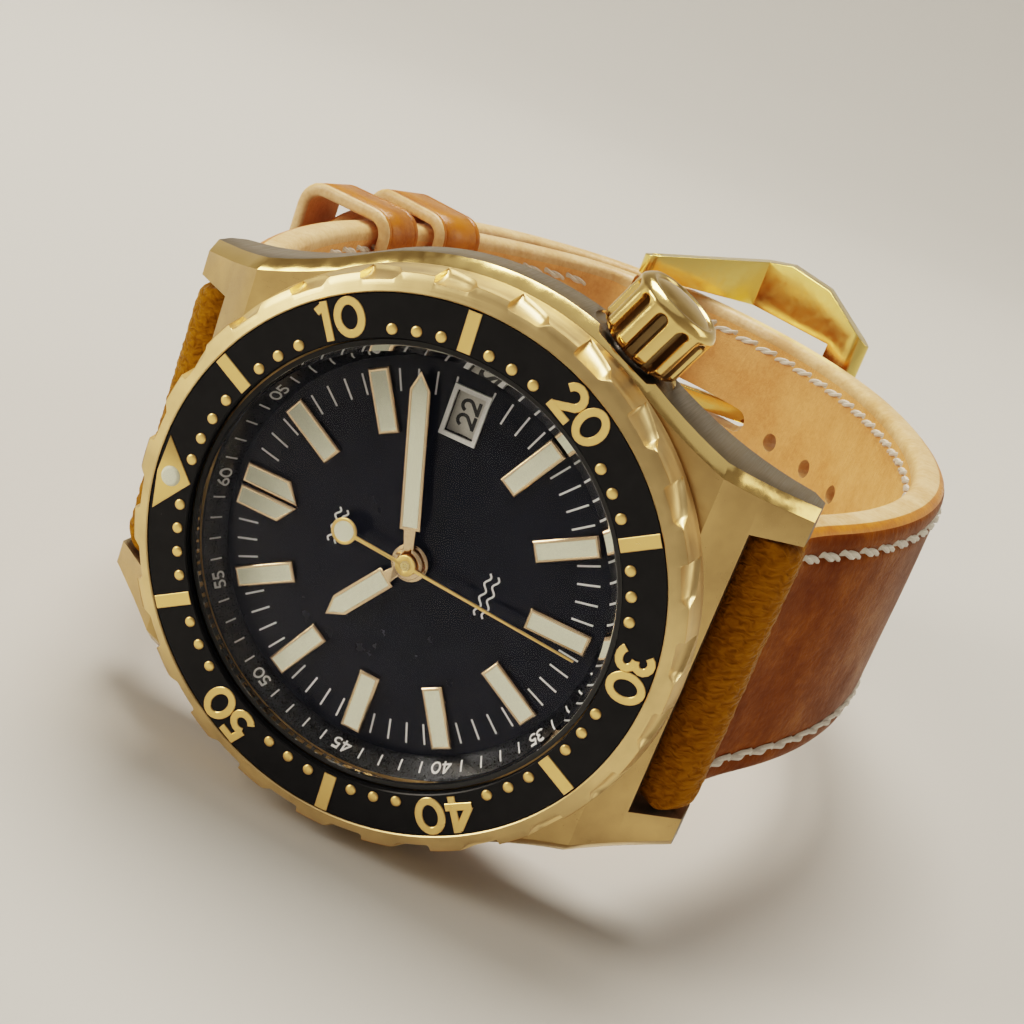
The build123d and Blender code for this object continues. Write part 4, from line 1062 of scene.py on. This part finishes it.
def through(strap, s):
    """Function that puts a hole's points across the strap at a distance along it."""
    def put(u, v, h):
        along = (strap.at(s + 1, h, 0) - strap.at(s, h, 0)).normalized()
        return strap.at(s, h, 0) + along * u + Vector((0, 0, v))

    return put


def long_holes(strap):
    """Cutter for the tongue's slot and the adjustment holes."""
    shape = Shape()
    prism(shape, oval(13.0, 2.6), 75, 95, lambda u, v, h: Vector((2.5 + u, h, v)))
    for hole in HOLES:
        prism(shape, oval(2.0, 1.999), -4, 4, through(strap, FIRST_HOLE + hole * HOLE_PITCH))
    return cutter_from(shape)


def short_window():
    """Cutter for the window in the rolled end, where the tongue holds the buckle's bar."""
    shape = Shape()
    reach, side = 4.5, 3    # half its length and half its width
    outline = [(-reach, -side), (reach, -side), (reach, side), (-reach, side)]
    prism(shape, outline, -1.6, 1.6, lambda u, v, h: Vector((-5.0 + u, 80 + v, h)))
    return cutter_from(shape)


def strap_pieces():
    """Both strap pieces with their stitching, adjustment holes and slots."""
    long = Strap(LONG_PATH, (0, 1), (-0.1, -1), 1, 0.0, TAIL)
    short = Strap(SHORT_PATH, (0, 1), (1, 0.15), -1, BUCKLE_ROLL, 0.0)
    for strap, node_name in ((long, "strap_long_piece"), (short, "strap_short_piece")):
        name = node_name.replace("piece", "leather")
        skin = strap.surface()
        piece = finish_piece(name, skin, LOOP, "case", LEATHER, [node_name], smooth=60)
        cut(piece, long_holes(strap) if strap is long else short_window())
        thread = Shape()
        stop = strap.length - STITCHED_SHORT_OF[node_name]
        for side in (-1, 1):
            for face in (-1, 1):
                strap.stitches(thread, stop, side, face)
        finish_piece(name.replace("leather", "stitching"), thread, LOOP, "case", [THREAD])


def keeper_loop(name, centre, angle, length, body):
    """Leather keeper: a band with rounded edges and pressed border lines, bent round both strap layers."""
    lean = math.radians(angle)
    along = Vector((-math.sin(lean), math.cos(lean), 0))
    out = Vector((-math.cos(lean), -math.sin(lean), 0))
    middle = Vector((*centre, 0))
    half_across, half_deep = HALF_WIDTH + 0.45, 2 * HALF_THICKNESS + 1.3
    corner, thick = 1.3, 1.25
    half = length / 2
    reach_z, reach_out = half_across - corner, half_deep - corner
    profile = [
        (-half + 0.4, 0.0), (-half + 0.1, 0.12), (-half, 0.4), (-half, 0.75), (-half + 0.12, 1.08),
        (-half + 0.4, thick), (-half + 0.75, thick), (-half + 0.9, thick - 0.12), (-half + 1.05, thick),
    ]
    profile += [(-t, n) for t, n in profile[::-1]]
    rows = []
    for corner_z, corner_out, start in ((1, 1, 0), (-1, 1, 90), (-1, -1, 180), (1, -1, 270)):
        pivot = middle + Vector((0, 0, corner_z * reach_z)) + out * corner_out * reach_out
        for i in range(7):
            turn = math.radians(start + 15 * i)
            spoke = Vector((0, 0, math.cos(turn))) + out * math.sin(turn)
            rows.append([pivot + spoke * (corner + n) + along * t for t, n in profile])
    outer_face, raw_edge, lining = 0, 2, 3
    ring = [raw_edge] * 5 + [outer_face] * 7 + [raw_edge] * 5 + [lining]
    shape = Shape()
    shape.grid(rows, ring * len(rows), closed=True, round_rows=True)
    materials = [KEEPER_LEATHER, *LEATHER[1:]]
    finish_piece(f"{name}_leather", shape, LOOP, body, materials, [name], smooth=60)


strap_pieces()
keeper_loop("free_keeper", (-30.35, 51.5), -10, 6.0, "keeper")
keeper_loop("fixed_keeper", (-27.4, 61.7), -20, 6.5, "case")
